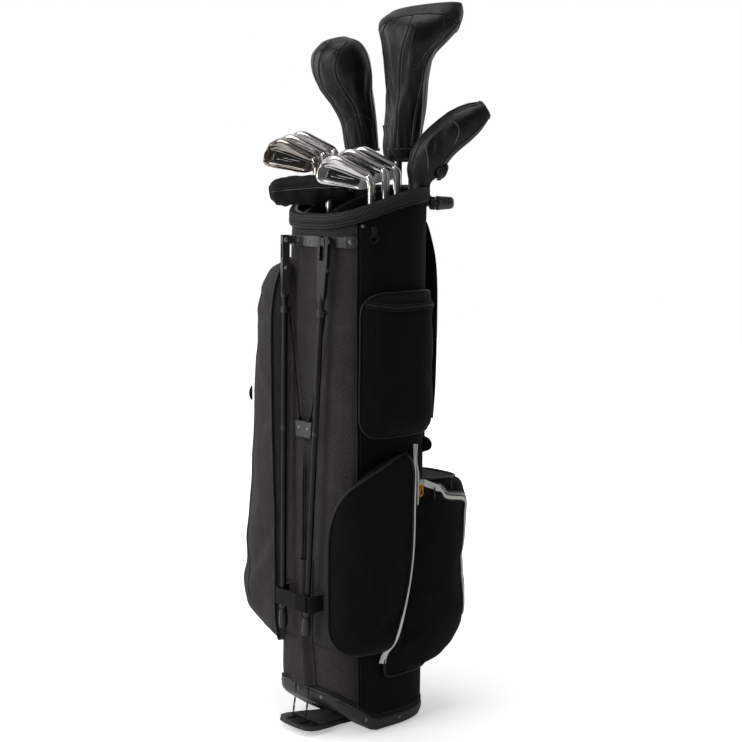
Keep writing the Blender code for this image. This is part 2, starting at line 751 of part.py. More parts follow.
def blob(centre, first, second, third, size, rows=8, columns=14):
    """A rounded solid with three half sizes along three directions."""
    bm = bmesh.new()
    bmesh.ops.create_uvsphere(bm, u_segments=columns, v_segments=rows, radius=1.0)
    turn = Matrix((first, second, third)).transposed().to_4x4()
    scale = Matrix.Diagonal((*size, 1.0))
    bmesh.ops.transform(bm, matrix=Matrix.Translation(centre) @ turn @ scale, verts=bm.verts)
    return bm


def build_wood(club, toe_plan, lie_deg, size, heel, neck_drop, setback=0.0):
    """A rounded wood head with its hosel at the heel. size: heel to toe, sole to crown, face to back.

    setback moves the head's middle away from the shaft, square to the line from heel to toe.
    """
    toe, sole, back = head_frame(club, toe_plan, lie_deg)
    half = [s / 2 for s in size]
    centre = club.sole + toe * (half[0] - heel) - sole * half[1] * 0.8 + back * setback
    head = add(club.name + "_head", blob(centre, toe, sole, back, half), "wood_head", club.butt, 60)
    top, bottom = club.at_height(club.sole.z - 0.008), club.at_height(club.sole.z - neck_drop)
    hosel = loft([circle(bottom, club.axis, 0.0054, 12), circle(top, club.axis, 0.0060, 12)])
    combine(head, hosel, "UNION")
    build_grip_and_shaft(club, club.sole.z - neck_drop - 0.0005, "wood_shaft")


def build_putter(club):
    """A blade putter with its neck near the heel."""
    toe, sole, back = head_frame(club, TOWARDS_TOE, 92.0)
    low, high = (-0.012, -0.022, -0.009), (0.072, 0.0, 0.009)
    rings = []
    for reach in (low[0], high[0]):
        plan = ((low[1], low[2]), (low[1], high[2]), (high[1], high[2]), (high[1], low[2]))
        rings.append([club.sole + toe * reach + sole * d + back * w for d, w in plan])
    head = add("putter_head", loft(rings), "iron_chrome", club.butt)
    top, bottom = club.at_height(club.sole.z - 0.010), club.at_height(club.sole.z - 0.062)
    neck = loft([circle(bottom, club.axis, 0.0058, 12), circle(top, club.axis, 0.0058, 12)])
    combine(head, neck, "UNION")
    build_grip_and_shaft(club, club.sole.z - 0.0625, "shaft_chrome")


# ---------------------------------------------------------------- headcovers
COVER_WALL = 0.0030


def sock(name, club, across, stations, surface, count=16):
    """A hollow cover: flattened rings along a bent line, open at its neck.

    Each station holds how far it is along the across direction from the club's axis, its height,
    its half width in the plane of the bend and its half thickness.
    """
    normal = Vector((0, 0, 1)).cross(across)
    anchor = club.at_height(stations[0][1])
    anchor.z = 0.0
    points = [anchor + across * s + Vector((0, 0, z)) for s, z, _, _ in stations]
    along = directions(points)
    outer, inner = [], []
    for point, direction, (_, _, wide, thick) in zip(points, along, stations):
        side = direction.cross(normal).normalized()
        for rings, shrink in ((outer, 0.0), (inner, COVER_WALL)):
            ring = []
            for i in range(count):
                turn = 2 * math.pi * i / count
                ring.append(point + side * (wide - shrink) * math.cos(turn)
                            + normal * (thick - shrink) * math.sin(turn))
            rings.append(ring)
    tip = along[-1] * COVER_WALL
    inner[-1] = [p - tip for p in inner[-1]]
    bm = loft(list(reversed(outer)) + inner)
    return add(name, bm, surface, club.butt, 60)


def build_covers():
    right_plan = -TOWARDS_TOE
    sock("driver_headcover", CLUBS["driver"], right_plan,
         [(0.003, 0.972, 0.034, 0.030), (0.007, 1.035, 0.035, 0.034), (0.009, 1.075, 0.038, 0.042),
          (0.0125, 1.108, 0.042, 0.052), (0.023, 1.136, 0.054, 0.058), (0.037, 1.162, 0.069, 0.058),
          (0.038, 1.182, 0.066, 0.048), (0.033, 1.194, 0.052, 0.030)], "cover_leather")
    sock("fairway_headcover", CLUBS["fairway"], TOWARDS_TOE,
         [(-0.003, 0.965, 0.0290, 0.026), (0.004, 1.020, 0.0310, 0.030), (0.014, 1.055, 0.0380, 0.042),
          (0.026, 1.088, 0.0480, 0.053), (0.035, 1.116, 0.0500, 0.054), (0.041, 1.139, 0.0420, 0.048),
          (0.044, 1.152, 0.0240, 0.030)], "cover_leather")
    sock("hybrid_headcover", CLUBS["hybrid"], right_plan,
         [(0.0070, 0.919, 0.0175, 0.0150), (0.0125, 0.935, 0.0268, 0.0190), (0.0225, 0.956, 0.0300, 0.0270),
          (0.048, 0.980, 0.0290, 0.0300), (0.075, 1.004, 0.0290, 0.0310), (0.098, 1.026, 0.0230, 0.0240),
          (0.108, 1.036, 0.0130, 0.0140)], "cover_leather")
    cover = sock("putter_headcover", CLUBS["putter"], TOWARDS_TOE,
                 [(-0.046, 0.902, 0.0120, 0.0110), (-0.039, 0.903, 0.0170, 0.0170),
                  (-0.018, 0.905, 0.0210, 0.0200), (0.020, 0.904, 0.0235, 0.0210),
                  (0.060, 0.900, 0.0250, 0.0210), (0.084, 0.897, 0.0220, 0.0190),
                  (0.096, 0.895, 0.0120, 0.0120)], "cover_knit")
    club = CLUBS["putter"]
    ends = (club.at_height(0.850), club.at_height(0.894))
    combine(cover, loft([circle(end, club.axis, 0.0090, 12) for end in ends]), "DIFFERENCE")


def build_clubs():
    for name in ("iron_1", "iron_2", "iron_3", "iron_4", "iron_5", "iron_6"):
        build_iron(CLUBS[name])
    right_plan = -TOWARDS_TOE
    build_wood(CLUBS["driver"], right_plan, 50.0, (0.096, 0.052, 0.086), 0.022, 0.062, 0.006)
    build_wood(CLUBS["fairway"], TOWARDS_TOE, 58.0, (0.080, 0.034, 0.048), 0.018, 0.055, -0.010)
    build_wood(CLUBS["hybrid"], right_plan, 50.0, (0.064, 0.024, 0.034), 0.006, 0.034)
    build_putter(CLUBS["putter"])


def main():
    clear_scene()
    make_materials()
    build_base()
    build_shell()
    build_collar()
    build_top_frame()
    build_divider_panel()
    build_leg_bracket()
    build_trunk_handle()
    build_shoulder_strap()
    build_leg_strap()
    build_pockets()
    for side, label in ((-1, "left"), (1, "right")):
        build_leg(side, label)
    build_drive()
    build_zip_pull("zip_pull_upper", 46.0, 0.4180)
    build_zip_pull("zip_pull_lower", 33.0, 0.4060)
    build_clubs()
    build_covers()


main()
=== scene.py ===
"""Looks of the golf club set: cloth, leather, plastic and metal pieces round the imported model."""
import json
import math

import bmesh
import bpy
import numpy as np
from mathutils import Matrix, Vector, noise
from mathutils.bvhtree import BVHTree


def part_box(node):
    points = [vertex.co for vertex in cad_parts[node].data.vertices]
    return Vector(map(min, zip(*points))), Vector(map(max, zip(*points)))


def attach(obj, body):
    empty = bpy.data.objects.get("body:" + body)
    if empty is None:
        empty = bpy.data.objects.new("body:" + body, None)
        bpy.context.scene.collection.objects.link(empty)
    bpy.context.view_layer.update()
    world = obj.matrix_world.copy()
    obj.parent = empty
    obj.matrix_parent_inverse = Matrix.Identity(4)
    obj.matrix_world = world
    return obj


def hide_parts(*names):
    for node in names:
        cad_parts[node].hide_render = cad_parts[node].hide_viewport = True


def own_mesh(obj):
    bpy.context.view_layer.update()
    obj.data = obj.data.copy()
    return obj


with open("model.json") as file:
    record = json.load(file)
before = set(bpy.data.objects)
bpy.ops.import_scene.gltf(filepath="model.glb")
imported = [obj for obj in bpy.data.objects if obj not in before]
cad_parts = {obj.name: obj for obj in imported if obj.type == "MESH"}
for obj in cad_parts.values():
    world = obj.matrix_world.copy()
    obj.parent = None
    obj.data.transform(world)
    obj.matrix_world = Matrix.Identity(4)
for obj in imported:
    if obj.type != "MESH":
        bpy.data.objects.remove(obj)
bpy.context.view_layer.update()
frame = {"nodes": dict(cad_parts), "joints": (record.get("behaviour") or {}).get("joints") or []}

UP = Vector((0.0, 0.0, 1.0))
SCREEN_RIGHT = Vector((0.643, 0.766, 0.0))      # plan direction across the view
TOWARDS_VIEWER = Vector((0.766, -0.643, 0.0))
CAMERA_PLACE, CAMERA_TURN = (2.030, -1.703, 0.944), (82.55, 0.0, 49.585)
CAMERA_LENS_MM, CAMERA_SENSOR_MM = 76.66, 36.0
JOINTS = {joint["name"]: joint for joint in frame["joints"]}
STITCH = 0.0034          # from one stitch to the next, and from a seam to the stitches beside it


# ---------------------------------------------------------------- node materials
class Graph:
    """A node tree with short calls for adding and wiring nodes."""

    def __init__(self, tree):
        self.tree = tree

    def node(self, kind, links=None, values=None, **settings):
        made = self.tree.nodes.new(kind)
        for key, value in settings.items():
            setattr(made, key, value)
        for key, value in (values or {}).items():
            made.inputs[key].default_value = value
        for key, socket in (links or {}).items():
            self.tree.links.new(socket, made.inputs[key])
        return made

    def maths(self, operation, a, b=0.0):
        made = self.node("ShaderNodeMath", operation=operation)
        for index, value in enumerate((a, b)):
            if isinstance(value, (int, float)):
                made.inputs[index].default_value = value
            else:
                self.tree.links.new(value, made.inputs[index])
        return made.outputs[0]

    def ramp(self, source, low, high, out_low=0.0, out_high=1.0):
        values = {"From Min": low, "From Max": high, "To Min": out_low, "To Max": out_high}
        return self.node("ShaderNodeMapRange", {"Value": source}, values).outputs["Result"]


class Look(Graph):
    """A Principled material with helpers for wiring textures into it."""

    def __init__(self, name, colour, roughness, metallic=0.0, **extra):
        self.material = bpy.data.materials.new(name)
        self.material.use_nodes = True
        super().__init__(self.material.node_tree)
        self.shader = self.tree.nodes["Principled BSDF"]
        self.height = None
        values = {"Base Color": (*colour, 1.0), "Roughness": roughness, "Metallic": metallic, **extra}
        for key, value in values.items():
            self.shader.inputs[key].default_value = value

    def drive(self, source, key):
        """Wires a socket into one of the shader's inputs."""
        self.tree.links.new(source, self.shader.inputs[key])

    def place(self, kind="Object", scale=(1.0, 1.0, 1.0), turn=0.0):
        """Texture coordinates in metres, stretched and turned."""
        where = self.node("ShaderNodeTexCoord").outputs[kind]
        mapped = self.node("ShaderNodeMapping", {"Vector": where}, {"Scale": scale, "Rotation": (0, 0, turn)})
        return mapped.outputs["Vector"]

    def noise(self, scale, detail=3.0, where=None, rough=0.6):
        where = where or self.place()
        values = {"Scale": scale, "Detail": detail, "Roughness": rough}
        return self.node("ShaderNodeTexNoise", {"Vector": where}, values).outputs["Fac"]

    def wave(self, where, scale, axis="X"):
        values = {"Scale": scale, "Distortion": 0.0}
        made = self.node("ShaderNodeTexWave", {"Vector": where}, values, bands_direction=axis)
        return made.outputs["Fac"]

    def paint(self, source, colour_a, colour_b):
        values = {6: (*colour_a, 1.0), 7: (*colour_b, 1.0)}
        made = self.node("ShaderNodeMix", {"Factor": source}, values, data_type="RGBA")
        self.drive(made.outputs[2], "Base Color")

    def rough(self, source, low, high):
        self.drive(self.ramp(source, 0.0, 1.0, low, high), "Roughness")

    def bump(self, source, depth, strength=0.6):
        """Adds one more layer of bump, depth in metres."""
        links = {"Height": source}
        if self.height is not None:
            links["Normal"] = self.height
        values = {"Strength": strength, "Distance": depth}
        self.height = self.node("ShaderNodeBump", links, values).outputs["Normal"]
        self.drive(self.height, "Normal")


def woven(name, dark, light, pitch=0.0011, heather=0.0, roughness=0.85, sheen=0.25):
    """Woven cloth: crossing threads of one pitch, with a mottled mix of two thread colours."""
    finish = {"Sheen Weight": sheen, "Sheen Roughness": 0.5, "Specular IOR Level": 0.12}
    look = Look(name, dark, roughness, **finish)
    where = look.place("UV")
    scale = 0.5 / pitch * 0.318
    threads = look.maths("MULTIPLY", look.wave(where, scale, "X"), look.wave(where, scale, "Y"))
    grains = look.noise(1.0, 2.0, look.place("UV", (900.0, 260.0, 1.0)))
    specks = look.noise(1.0, 2.0, look.place("UV", (300.0, 1100.0, 1.0)))
    both = look.maths("ADD", look.maths("MULTIPLY", grains, 0.5), look.maths("MULTIPLY", specks, 0.5))
    patches = look.noise(26.0, 3.0)
    tone = look.maths("ADD", look.ramp(both, 0.36, 0.64, 0.0, heather), look.ramp(patches, 0.3, 0.7, 0.0, 0.22))
    look.paint(tone, dark, light)
    look.bump(threads, 0.0003, 0.5)
    look.bump(patches, 0.0015, 0.12)
    look.rough(grains, roughness - 0.08, roughness + 0.08)
    return look.material


def honeycomb(name, dark, light, pitch=0.0042):
    """Spacer mesh with a lattice of small round holes, darkened inside with painted shade."""
    look = Look(name, dark, 0.8, **{"Sheen Weight": 0.03, "Specular IOR Level": 0.2})
    holes = None
    for turn in (0.0, math.radians(60), math.radians(120)):
        wave = look.wave(look.place("UV", (1, 1, 1), turn), 0.159 / pitch * 1.155 * 2, "X")
        holes = wave if holes is None else look.maths("ADD", holes, wave)
    shape = look.ramp(holes, 1.1, 2.1)
    # Holes get the dark colour and the threads between them the light one: painted shade inside the holes.
    look.paint(shape, light, dark)
    look.bump(look.maths("SUBTRACT", 1.0, shape), 0.0009, 0.9)
    look.bump(look.noise(60.0), 0.0015, 0.15)
    return look.material


def leather(name, dark, light, roughness=0.42):
    look = Look(name, dark, roughness, **{"Specular IOR Level": 0.30, "Coat Weight": 0.04, "Coat Roughness": 0.22})
    cells = look.node("ShaderNodeTexVoronoi", {"Vector": look.place()}, {"Scale": 900.0}, feature="DISTANCE_TO_EDGE")
    pores = look.ramp(cells.outputs["Distance"], 0.0, 0.25)
    cloudy = look.noise(30.0, 4.0)
    look.paint(look.ramp(cloudy, 0.3, 0.7), dark, light)
    look.rough(look.noise(300.0, 2.0), roughness - 0.07, roughness + 0.10)
    look.bump(pores, 0.00012, 0.45)
    look.bump(look.noise(90.0, 3.0), 0.0007, 0.16)
    return look.material


def plastic(name, dark, light, roughness=0.42, grain=0.35):
    look = Look(name, dark, roughness)
    look.paint(look.noise(18.0, 4.0), dark, light)
    fine = look.noise(1400.0, 2.0)
    look.rough(look.noise(60.0, 4.0), roughness - 0.08, roughness + 0.12)
    look.bump(fine, 0.00012, grain)
    return look.material


def metal(name, dark, light, roughness=0.2, brushed=0.0, turn=0.0):
    """Metal with cloudy polish and, if brushed, fine streaks."""
    look = Look(name, light, roughness, 1.0)
    look.paint(look.noise(22.0, 3.0), dark, light)
    smudge = look.noise(70.0, 4.0)
    streaks = look.noise(1.0, 2.0, look.place("Object", (60.0, 60.0, 2600.0), turn))
    polish = look.maths("MULTIPLY", smudge, 1.0 - brushed)
    mixed = look.maths("ADD", polish, look.maths("MULTIPLY", streaks, brushed))
    look.rough(mixed, roughness * 0.6, roughness * 1.6)
    look.bump(streaks, 0.00005, 0.25 * brushed + 0.02)
    return look.material


def lacquer(name, dark, light, roughness=0.15):
    look = Look(name, dark, roughness, **{"Coat Weight": 0.8, "Coat Roughness": 0.06})
    look.paint(look.noise(40.0, 3.0), dark, light)
    look.bump(look.noise(500.0, 2.0), 0.00005, 0.1)
    return look.material


def grip_rubber(name):
    """Cord-like rubber: small raised lozenges in crossing rows."""
    look = Look(name, (0.018, 0.018, 0.019), 0.75)
    where = look.place("UV")
    rows = look.maths("MULTIPLY", look.wave(look.place("UV", (1, 1, 1), 0.785), 46.0, "X"),
                      look.wave(look.place("UV", (1, 1, 1), -0.785), 46.0, "X"))
    look.paint(look.noise(200.0, 2.0, where), (0.014, 0.014, 0.015), (0.032, 0.032, 0.034))
    look.bump(rows, 0.0005, 0.7)
    return look.material


HEATHER = woven("heather_cloth", (0.0095, 0.0090, 0.0085), (0.056, 0.053, 0.050), 0.0011, 0.80, 0.85, 0.03)
NYLON = woven("black_cloth", (0.0016, 0.0016, 0.0017), (0.0056, 0.0055, 0.0055), 0.0009, 0.35, 0.80, 0.012)
LINING = woven("lining_cloth", (0.006, 0.006, 0.0065), (0.016, 0.016, 0.017), 0.0010, 0.5, 0.85, 0.03)
WEBBING = woven("webbing_cloth", (0.0050, 0.0050, 0.0052), (0.018, 0.018, 0.019), 0.0018, 0.3, 0.75, 0.03)
KNIT = woven("soft_cover_cloth", (0.0045, 0.0045, 0.0048), (0.013, 0.013, 0.014), 0.0013, 0.3, 0.60, 0.05)
TRIM = woven("light_trim_cloth", (0.66, 0.65, 0.62), (0.86, 0.85, 0.82), 0.0008, 0.6, 0.7)
CORD = woven("yellow_cord_cloth", (0.62, 0.25, 0.02), (0.85, 0.42, 0.05), 0.0008, 0.6, 0.7)
# The first, darker colour is the painted shade inside the mesh's holes.
MESH = honeycomb("spacer_mesh", (0.004, 0.004, 0.0042), (0.046, 0.046, 0.047), 0.0050)
LEATHER = leather("cover_leather", (0.0022, 0.0022, 0.0023), (0.0060, 0.0060, 0.0063), 0.36)
PIPING = leather("piping_leather", (0.0035, 0.0035, 0.0037), (0.0080, 0.0080, 0.0085), 0.50)
THREAD = woven("grey_thread", (0.26, 0.26, 0.265), (0.46, 0.46, 0.47), 0.0006, 0.6)
DARK_THREAD = woven("dark_thread", (0.010, 0.010, 0.011), (0.028, 0.028, 0.030), 0.0006, 0.6)
BLACK_PLASTIC = plastic("black_plastic_shell", (0.0055, 0.0055, 0.006), (0.011, 0.011, 0.012), 0.36)
DARK_PLASTIC = plastic("dark_grey_plastic", (0.016, 0.016, 0.017), (0.028, 0.028, 0.030), 0.36)
GREY_PLASTIC = plastic("grey_handle_plastic", (0.040, 0.039, 0.037), (0.070, 0.068, 0.065), 0.16, 0.06)
TUBE_METAL = metal("dark_tube_metal", (0.022, 0.022, 0.023), (0.040, 0.040, 0.042), 0.34, 0.2)
WIRE_METAL = metal("black_wire_metal", (0.014, 0.014, 0.015), (0.030, 0.030, 0.031), 0.35)
RIVET_METAL = metal("rivet_metal", (0.12, 0.12, 0.12), (0.26, 0.26, 0.26), 0.3)
CHROME = metal("polished_chrome", (0.62, 0.595, 0.56), (0.80, 0.78, 0.75), 0.10)
# A darker, browner copy of the polished chrome for one iron: painted shade and painted dark reflection for the head
# that sits in shadow.
PAINTED_SHADE_CHROME = metal("chrome_with_painted_shade", (0.30, 0.27, 0.235), (0.46, 0.42, 0.375), 0.09)
SATIN_CHROME = metal("satin_chrome", (0.76, 0.75, 0.73), (0.90, 0.89, 0.87), 0.20, 0.10)
BADGE = lacquer("badge_black", (0.010, 0.010, 0.011), (0.020, 0.020, 0.022))
FERRULE = lacquer("ferrule_black", (0.008, 0.008, 0.009), (0.014, 0.014, 0.015))
CARBON = lacquer("carbon_shaft", (0.015, 0.016, 0.019), (0.035, 0.037, 0.043))
HEAD_PAINT = lacquer("wood_head_paint", (0.010, 0.011, 0.013), (0.022, 0.023, 0.027), 0.12)
RUBBER = grip_rubber("grip_rubber_cord")
ZIP = metal("zip_teeth_metal", (0.42, 0.43, 0.45), (0.62, 0.63, 0.66), 0.3)


# ---------------------------------------------------------------- mesh helpers
def smooth_levels(obj, levels):
    """Adds subdivision, if any."""
    if levels:
        step = obj.modifiers.new("smooth", "SUBSURF")
        step.levels = step.render_levels = levels


def make(name, verts, faces, surface, body, slot=None, uvs=None, levels=0, parts=None, sharp=None):
    """A smooth piece that rides on a body. uvs holds one pair of metres per vertex."""
    mesh = bpy.data.meshes.new(name)
    mesh.from_pydata([tuple(v) for v in verts], [], faces)
    if uvs is not None:
        layer = mesh.uv_layers.new(name="metres")
        for loop in mesh.loops:
            layer.data[loop.index].uv = uvs[loop.vertex_index]
    surfaces = surface if isinstance(surface, (list, tuple)) else [surface]
    for item in surfaces:
        mesh.materials.append(item)
    if parts is not None:
        mesh.polygons.foreach_set("material_index", parts)
    mesh.shade_smooth()
    if sharp is not None:
        mesh.set_sharp_from_angle(angle=math.radians(sharp))
    mesh.update()
    made = bpy.data.objects.new(name, mesh)
    bpy.context.scene.collection.objects.link(made)
    smooth_levels(made, levels)
    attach(made, body)
    return made


def grid_faces(rows, columns, around=False, offset=0):
    """Quads between rows of points; around=True joins each row's last point to its first."""
    faces = []
    for i in range(rows - 1):
        for j in range(columns if around else columns - 1):
            k = (j + 1) % columns
            faces.append((offset + i * columns + j, offset + i * columns + k,
                          offset + (i + 1) * columns + k, offset + (i + 1) * columns + j))
    return faces


def grid_uvs(rows):
    """Lengths in metres along the rows and up the columns."""
    uvs = []
    up = 0.0
    middle = len(rows[0]) // 2
    for i, row in enumerate(rows):
        if i:
            up += (Vector(row[middle]) - Vector(rows[i - 1][middle])).length
        along = 0.0
        for j, point in enumerate(row):
            if j:
                along += (Vector(point) - Vector(row[j - 1])).length
            uvs.append((along, up))
    return uvs


def grid(name, rows, surface, body, slot=None, around=False, caps=False, levels=0, sharp=None):
    verts = [p for row in rows for p in row]
    faces = grid_faces(len(rows), len(rows[0]), around)
    if caps:
        count = len(rows[0])
        faces.append(tuple(reversed(range(count))))
        faces.append(tuple(range((len(rows) - 1) * count, len(rows) * count)))
    return make(name, verts, faces, surface, body, slot, grid_uvs(rows), levels, sharp=sharp)


def spline(points, count, closed=False):
    """A smooth curve through points (Catmull-Rom), as count points."""
    pts = [Vector(p) for p in points]
    n = len(pts)
    found = []
    spans = n if closed else n - 1
    for k in range(count):
        t = k / (count if closed else count - 1) * spans
        i = min(int(t), spans - 1)
        f = t - i
        if closed:
            a, b, c, d = (pts[(i + s) % n] for s in (-1, 0, 1, 2))
        else:
            a, b, c, d = pts[max(i - 1, 0)], pts[i], pts[i + 1], pts[min(i + 2, n - 1)]
        found.append(0.5 * ((2 * b) + (c - a) * f + (2 * a - 5 * b + 4 * c - d) * f * f
                            + (3 * b - a - 3 * c + d) * f ** 3))
    return found


def tangents(points, closed=False):
    n = len(points)
    found = []
    for i in range(n):
        before = points[(i - 1) % n] if closed else points[max(i - 1, 0)]
        after = points[(i + 1) % n] if closed else points[min(i + 1, n - 1)]
        found.append((after - before).normalized())
    return found


def ring(centre, first, second, a, b, count, power=2.0):
    """Points of an ellipse, or of a squarer oval when power is above 2."""
    points = []
    for i in range(count):
        turn = 2 * math.pi * i / count
        c, s = math.cos(turn), math.sin(turn)
        x = math.copysign(abs(c) ** (2 / power), c)
        y = math.copysign(abs(s) ** (2 / power), s)
        points.append(centre + first * (a * x) + second * (b * y))
    return points


def tube(name, points, radius, surface, body, slot=None, count=12, flat=1.0, side=None, closed=False,
         power=2.0, levels=0, sharp=None):
    """A swept bar. radius is a number or one per point; flat squeezes it across side."""
    pts = [Vector(p) for p in points]
    radii = radius if isinstance(radius, (list, tuple)) else [radius] * len(pts)
    rows = []
    previous = None
    for point, along, r in zip(pts, tangents(pts, closed), radii):
        guide = Vector(side) if side is not None else previous
        if guide is None:
            guide = Vector((0, 1, 0)) if abs(along.y) < 0.9 else Vector((1, 0, 0))
        first = (guide - along * guide.dot(along)).normalized()
        previous = first
        rows.append(ring(point, first, along.cross(first), r, r * flat, count, power))
    if closed:
        rows.append(list(rows[0]))
    return grid(name, rows, surface, body, slot, True, not closed, levels, sharp)


def merge(name, chunks, surface, body, slot=None, sharp=None):
    """One piece from several (verts, faces) chunks."""
    verts, faces = [], []
    for v, f in chunks:
        base = len(verts)
        verts += v
        faces += [tuple(base + i for i in face) for face in f]
    uvs = [(p[0] + p[1], p[2]) for p in verts]
    return make(name, verts, faces, surface, body, slot, uvs, sharp=sharp)


def capped(rows):
    """Rings of points joined into one closed chunk: (verts, faces)."""
    count = len(rows[0])
    faces = grid_faces(len(rows), count, True)
    faces.append(tuple(reversed(range(count))))
    faces.append(tuple(range((len(rows) - 1) * count, len(rows) * count)))
    return [p for row in rows for p in row], faces


def square_to(normal):
    """A direction as a unit vector, with two more square to it."""
    normal = Vector(normal).normalized()
    first = normal.orthogonal().normalized()
    return normal, first, normal.cross(first)


def dome(centre, normal, radius, height, count=16):
    """A rivet head as a chunk."""
    normal, first, second = square_to(normal)
    profile = ((1.0, -0.4), (1.0, 0.25), (0.85, 0.7), (0.5, 0.95), (0.12, 1.0))
    return capped([ring(Vector(centre) + normal * height * lift, first, second, radius * share, radius * share, count)
                   for share, lift in profile])


def bar(start, end, radius, count=6):
    """A short straight rod as a chunk, such as one stitch."""
    start, end = Vector(start), Vector(end)
    _, first, second = square_to(end - start)
    return capped([ring(start.lerp(end, at), first, second, radius * wide, radius * wide, count)
                   for at, wide in ((0.0, 0.6), (0.15, 1.0), (0.85, 1.0), (1.0, 0.6))])


def block(centre, x, y, z, sizes, edge=0.15):
    """A block with chamfered edges as a chunk. x, y and z are its directions, sizes its half sizes."""
    a, b, c = sizes
    inset = edge * min(sizes)
    rows = []
    for height, shrink in ((-c, inset), (-c + inset, 0.0), (c - inset, 0.0), (c, inset)):
        plan = []
        for sx, sy in ((-1, -1), (1, -1), (1, 1), (-1, 1)):
            first = (sx * (a - shrink), sy * (b - shrink - inset))
            second = (sx * (a - shrink - inset), sy * (b - shrink))
            plan += [first, second] if sx * sy > 0 else [second, first]
        rows.append([centre + x * p + y * q + z * height for p, q in plan])
    return capped(rows)


def soften(path, rounds):
    """Evens out a list of points or numbers, ends held."""
    found = list(path)
    for _ in range(rounds):
        found = [found[0]] + [(a + b * 2 + c) / 4 for a, b, c in zip(found, found[1:], found[2:])] + [found[-1]]
    return found


def away_at(angle):
    """The plan direction from the bag's axis at an angle."""
    return Vector((math.cos(angle), math.sin(angle), 0.0))


def looped(path):
    """A path that comes back to its first point."""
    return path + [path[0]]


def plan_away(point):
    """The plan direction from the bag's axis to a point."""
    return Vector((point.x, point.y, 0.0)).normalized()


def beside(path, normals, gap, lift=0.0):
    """A path shifted sideways along a surface by gap, and off it by lift."""
    return [p + t.cross(n).normalized() * gap + n * lift for p, t, n in zip(path, tangents(path), normals)]


def resample(points, pitch):
    """Points every pitch metres along a path."""
    pts = [Vector(p) for p in points]
    found, carried = [pts[0]], 0.0
    for a, b in zip(pts, pts[1:]):
        span = (b - a).length
        at = pitch - carried
        while at <= span:
            found.append(a.lerp(b, at / span))
            at += pitch
        carried = (carried + span) % pitch if span else carried
    return found


def stitches(name, points, body, pitch=STITCH, share=0.62, radius=0.00036, surface=None, slot=None):
    """A row of separate thread stitches along a path."""
    marks = resample(points, pitch)
    chunks = [bar(a, a.lerp(b, share), radius) for a, b in zip(marks, marks[1:])]
    return merge(name, chunks, surface or THREAD, body, slot)


def turned(name, start, axis, profile, surface, body, slot, count, sharp=None):
    """A round bar along an axis, from (distance, radius) pairs."""
    return tube(name, [start + axis * d for d, _ in profile], [r for _, r in profile], surface, body, slot, count,
                sharp=sharp)


def sleeve_on(name, centre, axis, profile, body, count):
    """A black collar round a leg, from (distance, radius) pairs."""
    _, first, second = square_to(axis)
    rows = [ring(centre + axis * d, first, second, r, r, count) for d, r in profile]
    grid(name, rows, BLACK_PLASTIC, body, "black_plastic", True, True, 0, 40)


def dark_stitches(name, points, pitch=STITCH):
    """Stitches in black thread on the bag."""
    return stitches(name, points, "bag", pitch, surface=DARK_THREAD, slot="webbing")


def cord(name, points, radius, count=10, closed=False):
    """Black piping on the bag."""
    return tube(name, points, radius, PIPING, "bag", "webbing", count, closed=closed)


def tree_of(*nodes):
    """A search tree over CAD nodes, in the row frame."""
    verts, faces = [], []
    for node in nodes:
        mesh = frame["nodes"][node].data
        base = len(verts)
        verts += [v.co.copy() for v in mesh.vertices]
        faces += [[base + i for i in p.vertices] for p in mesh.polygons]
    return BVHTree.FromPolygons(verts, faces)


def tree_from(obj):
    """A search tree over a finished piece."""
    shown = obj.evaluated_get(bpy.context.evaluated_depsgraph_get())
    mesh = shown.to_mesh()
    verts = [obj.matrix_world @ v.co for v in mesh.vertices]
    faces = [list(p.vertices) for p in mesh.polygons]
    found = BVHTree.FromPolygons(verts, faces)
    shown.to_mesh_clear()
    return found


def outermost(tree, angle, z, lift=0.0):
    """The outermost point of a tree's surface in one direction from the bag's axis, or None."""
    away = away_at(angle)
    hit = tree.ray_cast(away * 0.5 + UP * z, -away, 0.5)[0]
    return None if hit is None else hit + away * lift


def on_piece(tree, points, lift):
    """The points moved onto a piece's surface, and then off it by lift."""
    found = []
    for point in points:
        near, normal, _, _ = tree.find_nearest(Vector(point))
        if normal.dot(Vector(point) - near) < 0:
            normal = normal if normal.dot(Vector((near.x, near.y, 0))) > 0 else -normal
        found.append(near + normal * lift)
    return found


def axis_of(node):
    """The centres of a straight piece's lower and upper ends."""
    points = np.array([v.co for v in frame["nodes"][node].data.vertices])
    z = points[:, 2]
    reach = (z.max() - z.min()) * 0.02 + 0.0005
    low = points[z < z.min() + reach].mean(0)
    high = points[z > z.max() - reach].mean(0)
    return Vector(low), Vector(high)


def ripple(point, size, scale, seed=0.0):
    """Smooth noise between -size and size."""
    return noise.noise(Vector(point) * scale + Vector((seed, 3.1 * seed, 7.7))) * size


def settle(obj, pressure, cap, pinned, slack=0.0, frames=16, stiffness=12.0):
    """Inflates a cloth piece a little, with the pinned points held, and keeps the result."""
    scene = bpy.context.scene
    rest = [v.co.copy() for v in obj.data.vertices]
    group = obj.vertex_groups.new(name="pinned")
    group.add(pinned, 1.0, "REPLACE")
    cloth = obj.modifiers.new("cloth", "CLOTH")
    settings = cloth.settings
    settings.quality = 5
    settings.mass = 0.3
    settings.tension_stiffness = stiffness
    settings.compression_stiffness = stiffness
    settings.shear_stiffness = stiffness * 0.5
    settings.bending_stiffness = 0.4
    settings.use_pressure = True
    settings.uniform_pressure_force = pressure
    settings.vertex_group_mass = "pinned"
    settings.shrink_min = -slack
    settings.effector_weights.gravity = 0.0
    cloth.point_cache.frame_start = 1
    cloth.point_cache.frame_end = frames
    for number in range(1, frames + 1):
        scene.frame_set(number)
    shown = obj.evaluated_get(bpy.context.evaluated_depsgraph_get())
    moved = [v.co.copy() for v in shown.data.vertices]
    obj.modifiers.remove(cloth)
    obj.vertex_groups.remove(group)
    for vertex, start, end in zip(obj.data.vertices, rest, moved):
        shift = end - start
        vertex.co = start + shift * min(1.0, cap / max(shift.length, 1e-9))
    scene.frame_set(1)


